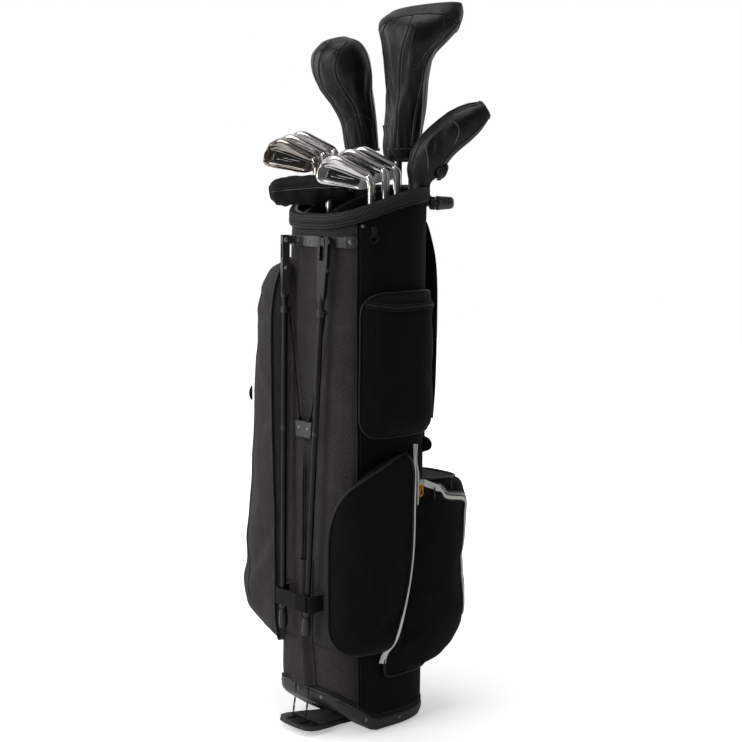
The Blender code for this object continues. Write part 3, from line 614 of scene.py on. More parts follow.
# ---------------------------------------------------------------- measurements taken from the frame
def last_hit(test, inside, outside, steps=11):
    """The last value between inside and outside at which test holds."""
    for _ in range(steps):
        middle = (inside + outside) / 2
        if test(middle):
            inside = middle
        else:
            outside = middle
    return inside


SHELL = tree_of("bag_shell")
COLLAR = tree_of("collar_pad")
COLLAR_LOW, COLLAR_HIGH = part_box("collar_pad")
COLLAR_TALL = 0.024
BODY_RADIUS = 0.105
ROUND_THE_BAG = 144      # points in a ring round the bag's body


def seen(tree, angle, z):
    return outermost(tree, angle, z) is not None


def hem_z(angle):
    return last_hit(lambda z: seen(SHELL, angle, z), 0.30, 0.0)


def shell_top(angle):
    return last_hit(lambda z: seen(SHELL, angle, z), 0.60, 1.0)


def collar_top(angle):
    for step in range(80):
        z = COLLAR_HIGH.z + 0.001 - 0.001 * step
        if seen(COLLAR, angle, z):
            return z
    return COLLAR_LOW.z


def skin(angle, z, lift=0.0):
    """A point on the outside of the bag's body, carried on straight above and below the fabric."""
    low, high = hem_z(angle) + 0.0005, shell_top(angle) - 0.0005
    found = outermost(SHELL, angle, min(max(z, low), high), lift)
    found.z = z
    return found


def degrees(low, high, count):
    return [math.radians(low + (high - low) * i / (count - 1)) for i in range(count)]


def shares(count, ease=0.0):
    """Numbers from 0 to 1, packed closer at both ends if ease is above 0."""
    found = []
    for i in range(count):
        t = i / (count - 1)
        found.append(t * (1 - ease) + (1 - math.cos(math.pi * t)) / 2 * ease)
    return found


def ribbon(name, points, normals, width, thick, surface, body, slot=None, crown=0.0, levels=0):
    """A flat strip lying along a path, with its outer face crowned by crown."""
    rows = []
    widths = width if isinstance(width, (list, tuple)) else [width] * len(points)
    section = ((-0.5, 0.0), (-0.5, 0.55), (-0.42, 1.0), (0.0, 1.0), (0.42, 1.0), (0.5, 0.55), (0.5, 0.0),
               (0.0, -0.05))
    for point, along, normal, wide in zip(points, tangents(points), normals, widths):
        side = along.cross(normal).normalized()
        row = []
        for across, lift in section:
            height = thick * lift + (crown if across == 0.0 and lift > 0 else 0.0)
            row.append(point + side * (across * wide) + normal * height)
        rows.append(row)
    return grid(name, rows, surface, body, slot, True, True, levels, 50)


def away_normals(points):
    return [plan_away(point) for point in points]


def surface_normals(tree, points):
    found = []
    for point in points:
        near, normal, _, _ = tree.find_nearest(point)
        flat = Vector((near.x, near.y, 0.0))
        found.append(normal if normal.dot(flat) > -0.2 * flat.length else -normal)
    return found


def chain(name, path, normals, pitch=0.0022, wide=0.0042, surface=None, slot="zip_metal"):
    """Zip teeth along a path: one small block for each tooth, alternating sides."""
    marks = resample(path, pitch)
    chunks = []
    for index, (a, b) in enumerate(zip(marks, marks[1:])):
        normal = normals[min(range(len(path)), key=lambda k: (path[k] - a).length_squared)]
        along = (b - a).normalized()
        side = along.cross(normal).normalized()
        shift = side * wide * 0.22 * (1 if index % 2 else -1)
        chunks.append(block(a + shift + normal * 0.0004, along, side, normal,
                            (pitch * 0.30, wide * 0.40, 0.0007), 0.3))
    merge(name, chunks, surface or ZIP, "bag", slot)


# ---------------------------------------------------------------- bag body
SPINE_LEFT, SPINE_RIGHT = 218.0, 318.0


def body_panel(name, low, high, columns, surface, wrinkle):
    rows = []
    for share in shares(34):
        row = []
        for angle in degrees(low, high, columns):
            bottom, top = hem_z(angle) - 0.0005, shell_top(angle) + 0.0008
            z = bottom + (top - bottom) * share
            near_edge = min(share, 1 - share) * 8
            point = skin(angle, z)
            lift = 0.0004 + ripple(point, wrinkle, 14.0, 2.0) * min(1.0, near_edge)
            row.append(point + away_at(angle) * lift)
        rows.append(row)
    return grid(name, rows, surface, "bag", "heather_fabric", levels=1)


def build_body():
    spine = body_panel("spine_panel", SPINE_LEFT, SPINE_RIGHT, 44, HEATHER, 0.0012)
    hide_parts("bag_shell")
    body_panel("side_and_back_panel", SPINE_RIGHT, SPINE_LEFT + 360.0, 96, NYLON, 0.0016)
    rows = []
    for share in shares(20):
        row = []
        for angle in degrees(0, 357.5, ROUND_THE_BAG)[:-1]:
            low, high = hem_z(angle) + 0.07, collar_top(angle) - 0.0245
            z = low + (high - low) * share
            inner = skin(angle, z)
            row.append(inner - away_at(angle) * 0.0026)
        rows.append(row)
    grid("lining_tube", rows, LINING, "bag", "lining_fabric", around=True)

    for label, angle in (("left", SPINE_LEFT), ("right", SPINE_RIGHT)):
        turn = math.radians(angle)
        low, high = hem_z(turn) + 0.002, shell_top(turn) - 0.001
        path = [skin(turn, low + (high - low) * s, 0.0012) for s in shares(60)]
        cord("spine_seam_" + label, path, 0.0016, 10)
        for side, shift in (("a", -2.6), ("b", 2.6)):
            turn_2 = math.radians(angle + shift)
            line = [skin(turn_2, low + (high - low) * s, 0.0006) for s in shares(60)]
            dark_stitches("spine_stitch_%s_%s" % (label, side), line)

    for label, z in (("strap", 0.2440), ("foot", 0.1500)):
        line = [skin(angle, z, 0.0012) for angle in degrees(SPINE_LEFT + 3, SPINE_RIGHT - 3, 60)]
        cord("spine_cross_seam_" + label, line, 0.0011, 8)
        dark_stitches("spine_cross_stitch_" + label, [p - UP * STITCH for p in line])

    hem = [skin(angle, hem_z(angle) + 0.0045) for angle in degrees(0, 357.5, ROUND_THE_BAG)]
    hem = [p + plan_away(p) * 0.0006 for p in hem]
    rows = looped([ring(p, plan_away(p), UP, 0.0011, 0.0048, 10, 3.0) for p in hem])
    grid("hem_binding", rows, WEBBING, "bag", "webbing", around=True)
    dark_stitches("hem_stitch", looped([p + plan_away(p) * 0.0013 + UP * 0.0022 for p in hem]))


def build_collar():
    """Padded cuff of spacer mesh, with piping at its lower edge and a bound upper edge."""
    faces = []
    for angle in degrees(0, 357, 120):
        middle = collar_top(angle) - COLLAR_TALL / 2
        faces.append((outermost(COLLAR, angle, middle) or skin(angle, middle, 0.005), away_at(angle)))

    def line(out, up):
        return looped([face + away * out + UP * up for face, away in faces])

    rows = [ring(face - away * 0.0044, away, UP, 0.0046 * (1.0 + ripple(face, 0.06, 40.0, 5.0)),
                 COLLAR_TALL / 2 - 0.0003, 24, 3.2) for face, away in faces]
    pad = grid("collar_padding", looped(rows), MESH, "bag", "mesh_padding", around=True, levels=1)
    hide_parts("collar_pad")
    cord("collar_lower_piping", line(-0.0016, 0.0016 - COLLAR_TALL / 2), 0.0019)
    high = line(-0.0050, COLLAR_TALL / 2 - 0.0006)
    tube("collar_upper_binding", high, 0.0022, WEBBING, "bag", "webbing", 10, 0.6)
    dark_stitches("collar_stitch", line(0.0004, 0.0056 - COLLAR_TALL / 2), 0.0038)


def build_dividers():
    """Padded sleeves over the cross bars of the top frame, found where rays meet the bars."""
    tree = tree_of("top_frame")
    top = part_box("top_frame")[1].z

    def hit(x, y, z, direction):
        return tree.ray_cast(Vector((x, y, z)), Vector(direction))[0]

    inset = 0.0015
    plans = []
    right, left = (hit(0.0, 0.050, top - 0.020, (sign, 0, 0)) for sign in (1, -1))
    middle, outer = (hit(x, -0.02, top - 0.022, (0, 1, 0)) for x in (0.0, -0.070))
    for found, sign in ((right, 1), (left, -1)):
        if found is not None:
            plans.append([(found.x + sign * inset, y) for y in (-0.080, -0.045, 0.0, 0.045, 0.083)])
    if len(plans) == 2:
        left_x, right_x = plans[1][0][0], plans[0][0][0]
        if middle is not None:
            plans.append([(x, middle.y + inset) for x in (left_x + 0.003, 0.0, right_x - 0.003)])
        if outer is not None:
            plans.append([(x, outer.y + inset) for x in (-0.092, -0.065, left_x - 0.003)])
    for index, plan in enumerate(plans):
        tops = [hit(x, y, top + 0.05, -UP) for x, y in plan]
        points = [found - UP * 0.0085 for found in tops if found is not None]
        if len(points) < 2:
            continue
        path = spline(points, 14)
        rows = [ring(p, t.cross(UP).normalized(), UP, 0.0042, 0.0105, 16, 2.6) for p, t in zip(path, tangents(path))]
        grid("divider_sleeve_%d" % (index + 1), rows, LINING, "bag", "lining_fabric", True, True, 1)


# ---------------------------------------------------------------- pockets
def pocket_edges(tree, z, inside):
    """Angles of a pocket's two side edges at one height, in radians."""
    def test(angle):
        return seen(tree, angle, z)

    start = math.radians(inside)
    return last_hit(test, start, start - 1.5), last_hit(test, start, start + 1.5)


class Pocket:
    """A soft pocket measured from its CAD node: a puffed cloth skin whose edges reach the body."""

    def __init__(self, name, node, inside, surface, slot, rows=44, columns=48, wrinkle=0.0016,
                 cloth=(1.2, 0.004, 0.010), corners=(0, 0, 0, 0), slant=0.0):
        self.tree = tree_of(node)
        low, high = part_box(node)
        self.low, self.high = low.z + 0.0006, high.z - 0.0006
        self.levels = [self.low + (self.high - self.low) * s for s in shares(rows, 0.6)]
        pairs = [pocket_edges(self.tree, z, inside) for z in self.levels]
        self.first = self.rounded([a for a, _ in pairs], corners[0], corners[1], 1)
        self.last = self.rounded([b for _, b in pairs], corners[2], corners[3], -1)
        rows_of_points = []
        for level, a, b in zip(self.levels, self.first, self.last):
            row = []
            for share in shares(columns, 0.5):
                angle = a + 0.004 + (b - a - 0.008) * share
                z = level - slant * share * (2 - share) * ((level - self.low) / (self.high - self.low)) ** 3
                point = outermost(self.tree, angle, z) or skin(angle, z, 0.004)
                inner = min(share, 1 - share) * min(1.0, (z - self.low) / 0.05, (self.high - z) / 0.05) * 3
                tall_fold = Vector((point.x, point.y, point.z * 0.35))
                fold = ripple(point, wrinkle, 16.0, 1.0) + ripple(tall_fold, wrinkle, 34.0, 9.0)
                row.append(point + away_at(angle) * fold * min(1.0, max(0.0, inner)))
            rows_of_points.append([skin(a - 0.004, level, 0.0002)] + row + [skin(b + 0.004, z, 0.0002)])
        bottom = [skin(math.atan2(p.y, p.x), p.z - 0.002, 0.0002) for p in rows_of_points[0]]
        top = [skin(math.atan2(p.y, p.x), p.z + 0.002, 0.0002) for p in rows_of_points[-1]]
        self.border = self.border_of(rows_of_points)
        rows_of_points = [bottom] + rows_of_points + [top]
        self.piece = grid(name, rows_of_points, surface, "bag", slot)
        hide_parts(node)
        tall, wide = len(rows_of_points), len(rows_of_points[0])
        pinned = [i * wide + j for i in range(tall) for j in range(wide)
                  if min(i, j, tall - 1 - i, wide - 1 - j) < 3]
        settle(self.piece, cloth[0], cloth[1], pinned, cloth[2])
        smooth_levels(self.piece, 1)
        self.skin = tree_from(self.piece)

    def front_edge(self):
        """A path along the side edge that faces the viewer."""
        path = [outermost(self.tree, angle + 0.012, z) or skin(angle, z, 0.004)
                for z, angle in zip(self.levels, self.first)]
        path = spline(path, 70)
        return [p + n * 0.001 for p, n in zip(path, away_normals(path))]

    def rounded(self, angles, low_radius, high_radius, way):
        """Draws a side edge in near the pocket's foot and head, for round corners; way points inwards."""
        found = []
        for z, angle in zip(self.levels, soften(angles, 3)):
            inset = 0.0
            for radius, gap in ((low_radius, z - self.low), (high_radius, self.high - z)):
                if radius and gap < radius:
                    inset += radius * (1 - math.sqrt(max(0.0, 1 - (1 - gap / radius) ** 2)))
            found.append(angle + way * inset / BODY_RADIUS)
        return found

    @staticmethod
    def border_of(rows):
        """The corners' round-trip path through the outer points of a grid of rows."""
        path = list(rows[0][2:-2]) + [row[-2] for row in rows[1:-1]]
        path += list(reversed(rows[-1][2:-2])) + [row[1] for row in reversed(rows[1:-1])]
        return path

    def outline(self, lift=0.001, count=220):
        """The pocket's whole outer edge as one closed path."""
        path = resample(looped(self.border), 0.006)[:-1]
        for _ in range(3):
            path = [(path[i - 1] + path[i] * 2 + path[(i + 1) % len(path)]) / 4 for i in range(len(path))]
        path = spline(path, count, True)
        return [p + n * lift for p, n in zip(path, away_normals(path))]

    def line(self, marks, count, lift=0.0006):
        """A path on the finished skin through (degrees, share of the height) marks."""
        places = [(math.radians(angle), self.low + (self.high - self.low) * share) for angle, share in marks]
        path = [outermost(self.tree, *place) or skin(*place, 0.004) for place in places]
        return on_piece(self.skin, spline(path, count), lift)


def zip_on(pocket, name, marks, tape_width):
    """A zip with its tape, teeth and stitches along marks on a pocket."""
    path = pocket.line(marks, 120)
    normals = surface_normals(pocket.skin, path)
    ribbon(name + "_tape", path, normals, tape_width, 0.0012, NYLON, "bag", "black_fabric", 0.0002)
    lifted = [p + n * 0.0014 for p, n in zip(path, normals)]
    chain(name + "_teeth", lifted, normals, surface=BLACK_PLASTIC, slot="black_plastic")
    for label, side in (("a", -0.42), ("b", 0.42)):
        dark_stitches("%s_stitch_%s" % (name, label), beside(path, normals, side * tape_width, 0.0014))


def double_seam(pocket, name, marks, surface):
    """A sewn ridge on a pocket with a row of stitches beside it."""
    path = pocket.line(marks, 90, 0.0002)
    tube(name, path, 0.0011, surface, "bag", "black_fabric", 8)
    line = beside(path, surface_normals(pocket.skin, path), STITCH, 0.0004)
    dark_stitches(name + "_stitch", on_piece(pocket.skin, line, 0.0003))


def build_pockets():
    apparel = Pocket("apparel_pocket_cloth", "apparel_pocket", 184.0, HEATHER, "heather_fabric", 52, 56, 0.0026,
                     (1.2, 0.006, 0.012), (0.02, 0.02, 0.02, 0.02))
    side = Pocket("lower_side_pocket_cloth", "lower_side_pocket", 340.0, NYLON, "black_fabric", 40, 36, 0.0012,
                  (1.4, 0.005, 0.010), (0.050, 0.060, 0.0, 0.0))
    ball = Pocket("ball_pocket_cloth", "ball_pocket", 60.0, NYLON, "black_fabric", 44, 56, 0.0018,
                  (1.6, 0.006, 0.012), (0.0, 0.0, 0.06, 0.06), 0.022)
    upper = Pocket("upper_side_pocket_cloth", "upper_side_pocket", 6.0, NYLON, "black_fabric", 30, 36, 0.0012,
                   corners=(0.030, 0.030, 0.030, 0.030))
    for pocket, name, radius in ((apparel, "apparel_piping", 0.0021), (side, "lower_side_piping", 0.0022),
                                 (ball, "ball_pocket_piping", 0.0020), (upper, "upper_side_piping", 0.0017)):
        cord(name, pocket.outline(), radius, closed=True)
    zip_on(apparel, "apparel_zip", [(152, 0.90), (151, 0.70), (150, 0.45), (151, 0.24), (158, 0.12)], 0.013)
    zip_on(upper, "upper_side_zip", [(325, 0.93), (345, 0.90), (370, 0.90), (392, 0.90), (406, 0.90)], 0.012)
    seam = [(222, 0.93), (219, 0.80), (216, 0.5), (214, 0.26), (218, 0.10)]
    double_seam(apparel, "apparel_gusset_seam", seam, HEATHER)
    edge = side.front_edge()
    front = [p - t.cross(n) * 0.0085 for p, t, n in zip(edge, tangents(edge), away_normals(edge))]
    tube("lower_side_inner_ridge", on_piece(side.skin, front, 0.0003), 0.0012, NYLON, "bag", "black_fabric", 8)
    return apparel, side, ball


def rightmost(pocket, share):
    """The angle, in degrees, at which a pocket reaches furthest across the view."""
    z = pocket.low + (pocket.high - pocket.low) * share
    best, reach = 0, -1.0
    for angle in range(10, 90):
        point = outermost(pocket.tree, math.radians(angle), z)
        if point is not None and point.dot(SCREEN_RIGHT) > reach:
            best, reach = angle, point.dot(SCREEN_RIGHT)
    return best


def build_ball_zip(ball):
    """The light zip that runs over the top of the ball pocket and down its outer edge."""
    def share(z):
        return (z - ball.low) / (ball.high - ball.low)

    down = [share(z) for z in (0.372, 0.345, 0.315, 0.285, 0.255, 0.225, 0.195, 0.170)]
    curve = np.polyfit(down, [rightmost(ball, at) for at in down], 2)
    marks = [(24, share(0.4165)), (31, share(0.4080)), (37, share(0.3980)), (41, share(0.3850))]
    marks += [(np.polyval(curve, at) - 6.0, at) for at in down]
    path = soften(ball.line(marks, 150, 0.0008), 6)
    normals = away_normals(path)
    widths = [0.0060 + 0.0050 * max(0.0, min(1.0, (26 - i) / 4)) for i in range(150)]
    ribbon("ball_zip_tape", path, normals, widths, 0.0022, TRIM, "bag", "black_fabric", 0.0006)
    for label, gap, radius in (("inner", 0.0046, 0.0014), ("outer", -0.0100, 0.0018)):
        line = beside(path, normals, gap)[22:]
        cord("ball_zip_piping_" + label, on_piece(ball.skin, line, 0.0006), radius, 8)
    line = on_piece(ball.skin, beside(path, normals, -0.0066)[22:], 0.0014)
    chain("ball_zip_teeth", line, surface_normals(ball.skin, line), 0.0024, 0.0040)


def build_trim(side, ball):
    """The light sweep between the side pocket and the ball pocket, doubled at its upper end."""
    def spot(angle, z):
        hits = [outermost(tree, angle + turn, z) for tree in (side.tree, ball.tree) for turn in (-0.05, 0.05)]
        hits = [h for h in hits if h is not None]
        reach = max([math.hypot(h.x, h.y) for h in hits] + [math.hypot(*skin(angle, z).xy) + 0.004])
        return Vector((math.cos(angle) * reach, math.sin(angle) * reach, z))

    path = []
    widths = []
    low, bend, top = 0.118, 0.410, 0.482
    for share in shares(80):
        z = low + (top - low) * share
        angle = np.interp(min(z, bend), ball.levels, ball.first) - 0.022
        point = spot(angle, z)
        # above the bend it turns with the body, so that it keeps its place across the view
        while z > bend and point.dot(SCREEN_RIGHT) < held:
            angle += 0.004
            point = spot(angle, z)
        if z <= bend:
            held = point.dot(SCREEN_RIGHT)
        path.append(point)
        widths.append(0.0050 + 0.0075 * max(0.0, 1 - share / 0.12))
    even = soften(path, 8)
    normals = away_normals(even)
    ribbon("light_sweep_trim", [p + n * 0.0002 for p, n in zip(even, normals)], normals, widths, 0.0022, TRIM,
           "bag", "black_fabric", 0.0008)
    upper = even[-22:]
    shifted = beside(upper, away_normals(upper), 0.0085)
    ribbon("light_sweep_trim_second", shifted, away_normals(shifted), [0.0015 + 0.0025 * s for s in shares(22)],
           0.0018, TRIM, "bag", "black_fabric", 0.0006)


# ---------------------------------------------------------------- rigid parts kept from the frame
def dress(node, surface, bevel=0.0, levels=0, smooth=40):
    """Gives a CAD node its material and softer edges."""
    obj = frame["nodes"][node]
    obj.data.materials.clear()
    obj.data.materials.append(surface)
    if bevel:
        step = obj.modifiers.new("soft edges", "BEVEL")
        step.width = bevel
        step.segments = 3
        step.limit_method = "ANGLE"
        step.angle_limit = math.radians(smooth)
        step.harden_normals = True
    smooth_levels(obj, levels)


def slice_of(node, z, reach=0.004):
    """Centre of the part of a CAD node near one height."""
    points = [v.co for v in frame["nodes"][node].data.vertices if abs(v.co.z - z) < reach]
    return sum(points, Vector()) / max(1, len(points))


def torus_chunk(centre, normal, radius, thick, count=24, ring_count=8):
    """A wire eye as a chunk."""
    normal, first, second = square_to(normal)
    verts = []
    for i in range(count):
        turn = 2 * math.pi * i / count
        away = first * math.cos(turn) + second * math.sin(turn)
        verts += ring(Vector(centre) + away * radius, away, normal, thick, thick, ring_count)
    faces = grid_faces(count, ring_count, True)
    last = (count - 1) * ring_count
    for j in range(ring_count):
        k = (j + 1) % ring_count
        faces.append((last + j, last + k, k, j))
    return verts, faces


def screw(centre, normal, radius, height):
    """A countersunk screw head with a cross recess, as chunks."""
    normal, first, second = square_to(normal)
    chunks = [dome(centre, normal, radius, height, 20)]
    for x, y in ((first, second), (second, -first)):
        chunks.append(block(Vector(centre) + normal * height * 1.02, x, y, normal,
                            (radius * 0.55, radius * 0.13, height * 0.10), 0.3))
    return chunks


BASE = tree_of("bag_base")
BRACKET = tree_of("leg_bracket")


def screws_on(name, tree, places, height):
    """Screw heads where rays from outside meet a surface, at (degrees, z, radius) places."""
    chunks = []
    for angle, z, radius in places:
        turn = math.radians(angle)
        point = outermost(tree, turn, z)
        if point is not None:
            chunks += screw(point, away_at(turn), radius, height)
    merge(name, chunks, RIVET_METAL, "bag", "wire_steel")


def build_base():
    dress("bag_base", BLACK_PLASTIC, 0.0007, 0, 25)
    places = [(a, hem_z(math.radians(a)) - 0.008, 0.0032) for a in (232, 262, 290, 325, 5, 50, 100, 140, 185)]
    screws_on("base_rivets", BASE, places, 0.0011)
    groove = []
    for angle in degrees(0, 357.5, ROUND_THE_BAG):
        point = outermost(BASE, angle, hem_z(angle) - 0.0035)
        if point is not None:
            groove.append(point + away_at(angle) * 0.0001)
    tube("base_rim_bead", groove + [groove[0]], 0.0012, BLACK_PLASTIC, "bag", "black_plastic", 8)
    ribs = []
    for angle in degrees(146, 394, 33):
        z_high = hem_z(angle) - 0.0105
        start, end = outermost(BASE, angle, 0.008), outermost(BASE, angle, z_high)
        if z_high < 0.010 or start is None or end is None:
            continue
        away = away_at(angle)
        along = (end - start).normalized()
        ribs.append(block((start + end) / 2, along, along.cross(away).normalized(), away,
                          ((end - start).length / 2, 0.0006, 0.0008), 0.4))
    merge("base_grip_ribs", ribs, BLACK_PLASTIC, "bag", "black_plastic")


def build_bracket():
    dress("leg_bracket", DARK_PLASTIC, 0.0011)
    z = 0.8200
    screws_on("bracket_screws", BRACKET, ((252.5, z, 0.0032), (269.0, z, 0.0022), (287.0, z, 0.0022),
                                          (313.0, z, 0.0034)), 0.0012)
    rows = []
    for angle in degrees(307.5, 318.5, 12):
        away = away_at(angle)
        end = min(1.0, abs(math.degrees(angle) - 318.5) / 2.2, abs(math.degrees(angle) - 306.0) / 2.2)
        half = 0.0102 * (0.55 + 0.45 * end)
        face = skin(angle, z, 0.0)
        section = ((-1, 0.0006), (-0.93, 0.0046), (-0.7, 0.0058), (0.7, 0.0058), (0.93, 0.0046), (1, 0.0006))
        rows.append([face + UP * half * up + away * out for up, out in section])
    grid("bracket_wing", rows, DARK_PLASTIC, "bag", "black_plastic", True, True, 0, 35)
    ribs = []
    for angle in (259, 295):
        turn = math.radians(angle)
        away = away_at(turn)
        point = outermost(BRACKET, turn, z)
        if point is not None:
            ribs.append(block(point + away * 0.0004, UP, away.cross(UP), away, (0.0066, 0.0009, 0.0009), 0.4))
    merge("bracket_ribs", ribs, DARK_PLASTIC, "bag", "black_plastic")


def build_pedal():
    dress("foot_pedal", BLACK_PLASTIC, 0.0013)
    tree = tree_of("foot_pedal")
    low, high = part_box("foot_pedal")
    ribs = []
    for step in range(9):
        y = low.y + 0.036 + 0.0072 * step
        hits = [tree.ray_cast(Vector((0.001 * i, y, 0.06)), -UP)[0] for i in range(-42, 43)]
        hits = [hit for hit in hits if hit is not None]
        if len(hits) < 10:
            continue
        left, right = hits[4], hits[-5]
        ribs.append(block((left + right) / 2 + UP * 0.0004, (right - left).normalized(),
                          Vector((0, 1, 0.085)).normalized(), UP, ((right - left).length / 2, 0.0013, 0.0009), 0.5))
    merge("pedal_tread_ribs", ribs, BLACK_PLASTIC, "pedal", "black_plastic")
    toe = (low.z + high.z) / 2 + 0.002
    starts = [Vector((-0.038 + 0.076 * s / 24, low.y - 0.02, toe)) for s in range(25)]
    edge = [hit for hit in (tree.ray_cast(p, Vector((0, 1, 0)))[0] for p in starts) if hit is not None]
    if len(edge) > 3:
        tube("pedal_toe_bead", edge, 0.0012, BLACK_PLASTIC, "pedal", "black_plastic", 8)
    eyes = [torus_chunk((x, -0.1350, 0.0112), (1, 0, 0), 0.0034, 0.0012) for x in (-0.017, 0.017)]
    merge("rod_foot_eyes", eyes, WIRE_METAL, "rod", "wire_steel")


def build_drive():
    dress("push_rod", WIRE_METAL, 0.0, 1)
    dress("slider_plate", DARK_PLASTIC, 0.0012)
    low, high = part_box("slider_plate")
    chunks = []
    for x in (-0.0118, 0.0118):
        chunks += screw((x, low.y, (low.z + high.z) / 2 + 0.001), (0, -1, 0), 0.0034, 0.0012)
    merge("slider_rivets", chunks, RIVET_METAL, "rod", "wire_steel")
    guides = [slice_of("push_rod", z, 0.008) for z in (0.015, 0.160, 0.490)]
    patch = []
    for z in [0.0800 + 0.212 * s for s in shares(30)]:
        face = skin(math.radians(270), z).y
        guide_y = np.interp(z, [g.z for g in guides], [g.y for g in guides])
        spread = 0.003 + 0.0150 * max(0.0, min(1.0, (0.160 - z) / 0.070)) ** 0.8
        half = 0.0150 + spread * 0.85
        row = []
        for x in [half * (2 * s - 1) for s in shares(25)]:
            over = max(0.0, abs(x) - spread)
            swell = math.exp(-(over / 0.0050) ** 2)
            y = face - 0.0014 - max(0.0, face - (guide_y - 0.0040)) * swell + ripple((x, 0, z), 0.0007, 60.0, 4.0)
            row.append(Vector((x, y, z)))
        patch.append(row)
    sleeve = grid("rod_sleeve", patch, HEATHER, "bag", "heather_fabric", levels=1)
    solid = sleeve.modifiers.new("thickness", "SOLIDIFY")
    solid.thickness = 0.0012
    solid.offset = 0.0
    border = [row[0] for row in patch] + list(patch[-1][1:-1]) + [row[-1] for row in reversed(patch)]
    border += list(reversed(patch[0][1:-1]))
    centre = sum(border, Vector()) / len(border)
    inset = [p.lerp(Vector((centre.x, p.y, centre.z)), 0.07) - Vector((0, 0.0010, 0)) for p in border]
    dark_stitches("rod_sleeve_stitch", looped(inset), 0.0030)

    for side in ("left", "right"):
        name = "link_wire_" + side
        start, end = axis_of(name)
        wire = tube(name + "_fine", [start.lerp(end, t) for t in shares(8)], 0.0015, WIRE_METAL, "link_" + side,
                    "wire_steel", 16)
        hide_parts(name)
        eyes = [torus_chunk(point, (1, 0, 0), 0.0034, 0.0011) for point in (start, end)]
        merge(name + "_eyes", eyes, WIRE_METAL, "link_" + side, "wire_steel")


def build_legs():
    for side, sign in (("left", -1), ("right", 1)):
        body = "leg_" + side
        dress("leg_yoke_" + side, BLACK_PLASTIC, 0.0028)
        dress("leg_foot_" + side, BLACK_PLASTIC, 0.0009)
        start, end = axis_of("leg_tube_" + side)
        down = (start - end).normalized()
        long = (end - start).length
        profile = [(-0.012, 0.0046), (0.0, 0.0050), (0.10 * long, 0.0050), (0.42 * long, 0.0050),
                   (0.4205 * long, 0.0047), (0.60 * long, 0.0047), (0.98 * long, 0.0047), (long, 0.0047)]
        piece = turned("leg_%s_bar" % side, end, down, profile, TUBE_METAL, body, "leg_metal", 32, 30)
        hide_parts("leg_tube_" + side)
        for index, at, wide, tall in ((1, 0.0, 0.0066, 0.010), (2, 0.42, 0.0058, 0.006), (3, 0.985, 0.0064, 0.009)):
            profile = [(tall / 2, 0.0045)]
            profile += [(-share * tall / 2, wide * grow) for share, grow in
                        ((-1.0, 0.80), (-0.9, 0.97), (-0.6, 1.0), (0.6, 1.0), (0.9, 0.97), (1.0, 0.80))]
            profile.append((-tall / 2, 0.0045))
            sleeve_on("leg_%s_collar_%d" % (side, index), end + down * long * at, down, profile, body, 28)
        pivot = Vector(JOINTS["leg_%s_swing" % side]["pos_m"])
        axis = Vector((-math.cos(math.radians(25)), -sign * math.sin(math.radians(25)), 0))
        middle = pivot - UP * 0.046 + Vector((-sign * 0.0015, -0.0018, 0))
        chunks = []
        for centre, gap, radius, height in ((pivot, 0.0090, 0.0042, 0.0014), (middle, 0.0078, 0.0034, 0.0020)):
            for way in (-1, 1):
                chunks += screw(centre + axis * way * gap, axis * way, radius, height)
        merge("leg_%s_pins" % side, chunks, RIVET_METAL, body, "wire_steel")
        profile = [(-0.0060, 0.005695), (-0.0051, 0.0067), (0.0051, 0.0067), (0.0060, 0.005695)]
        sleeve_on("leg_%s_link_clip" % side, end + down * 0.0247, down, profile, body, 24)


# ---------------------------------------------------------------- straps and small fittings
def build_leg_strap():
    low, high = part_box("leg_strap")
    front, tall = low.y, high.z - low.z
    x = (high.x - low.x) / 2
    half = [(0.0, 0.0006), (x * 0.5, 0.0002), (x - 0.0075, 0.0), (x - 0.0035, 0.0014), (x - 0.0012, 0.00385),
            (x, 0.0095)]
    half = [(a, front + b) for a, b in half] + [(x, high.y - 0.015), (x, high.y)]
    plan = [(-a, b) for a, b in reversed(half[1:])] + half
    path = spline([Vector((a, b, (low.z + high.z) / 2)) for a, b in plan], 90)
    normals = [Vector((along.y, -along.x, 0)).normalized() for along in tangents(path)]
    rows = []
    for point, normal in zip(path, normals):
        outer = [Vector((point.x, point.y, low.z + tall * share)) for share in shares(13)]
        row = [p + normal * ripple(p, 0.0004, 80.0, 8.0) for p in outer]
        rows.append(row + [p - normal * 0.0018 for p in reversed(outer)])
    pieces = [grid("leg_strap_band", rows, WEBBING, "bag", "webbing", True, True, 0, 50)]
    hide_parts("leg_strap")
    for label, share in (("low", 0.10), ("high", 0.90)):
        line = [Vector((p.x, p.y, low.z + tall * share)) + n * 0.0003 for p, n in zip(path, normals)]
        pieces.append(dark_stitches("leg_strap_stitch_" + label, line[4:-4], 0.0028))
    section = ((0.0, low.z + 0.0010), (-0.0008, low.z + 0.0024), (-0.0008, high.z - 0.0024), (0.0, high.z - 0.0010),
               (0.0010, high.z - 0.0020), (0.0010, low.z + 0.0020))
    rows = [[Vector((x * (0.30 + 0.62 * share), front - 0.0014 - 0.0012 * share + off, z)) for off, z in section]
            for share in shares(16)]
    pieces.append(grid("leg_strap_end", rows, NYLON, "bag", "webbing", True, True, 0, 40))
    for piece in pieces:
        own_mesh(piece)


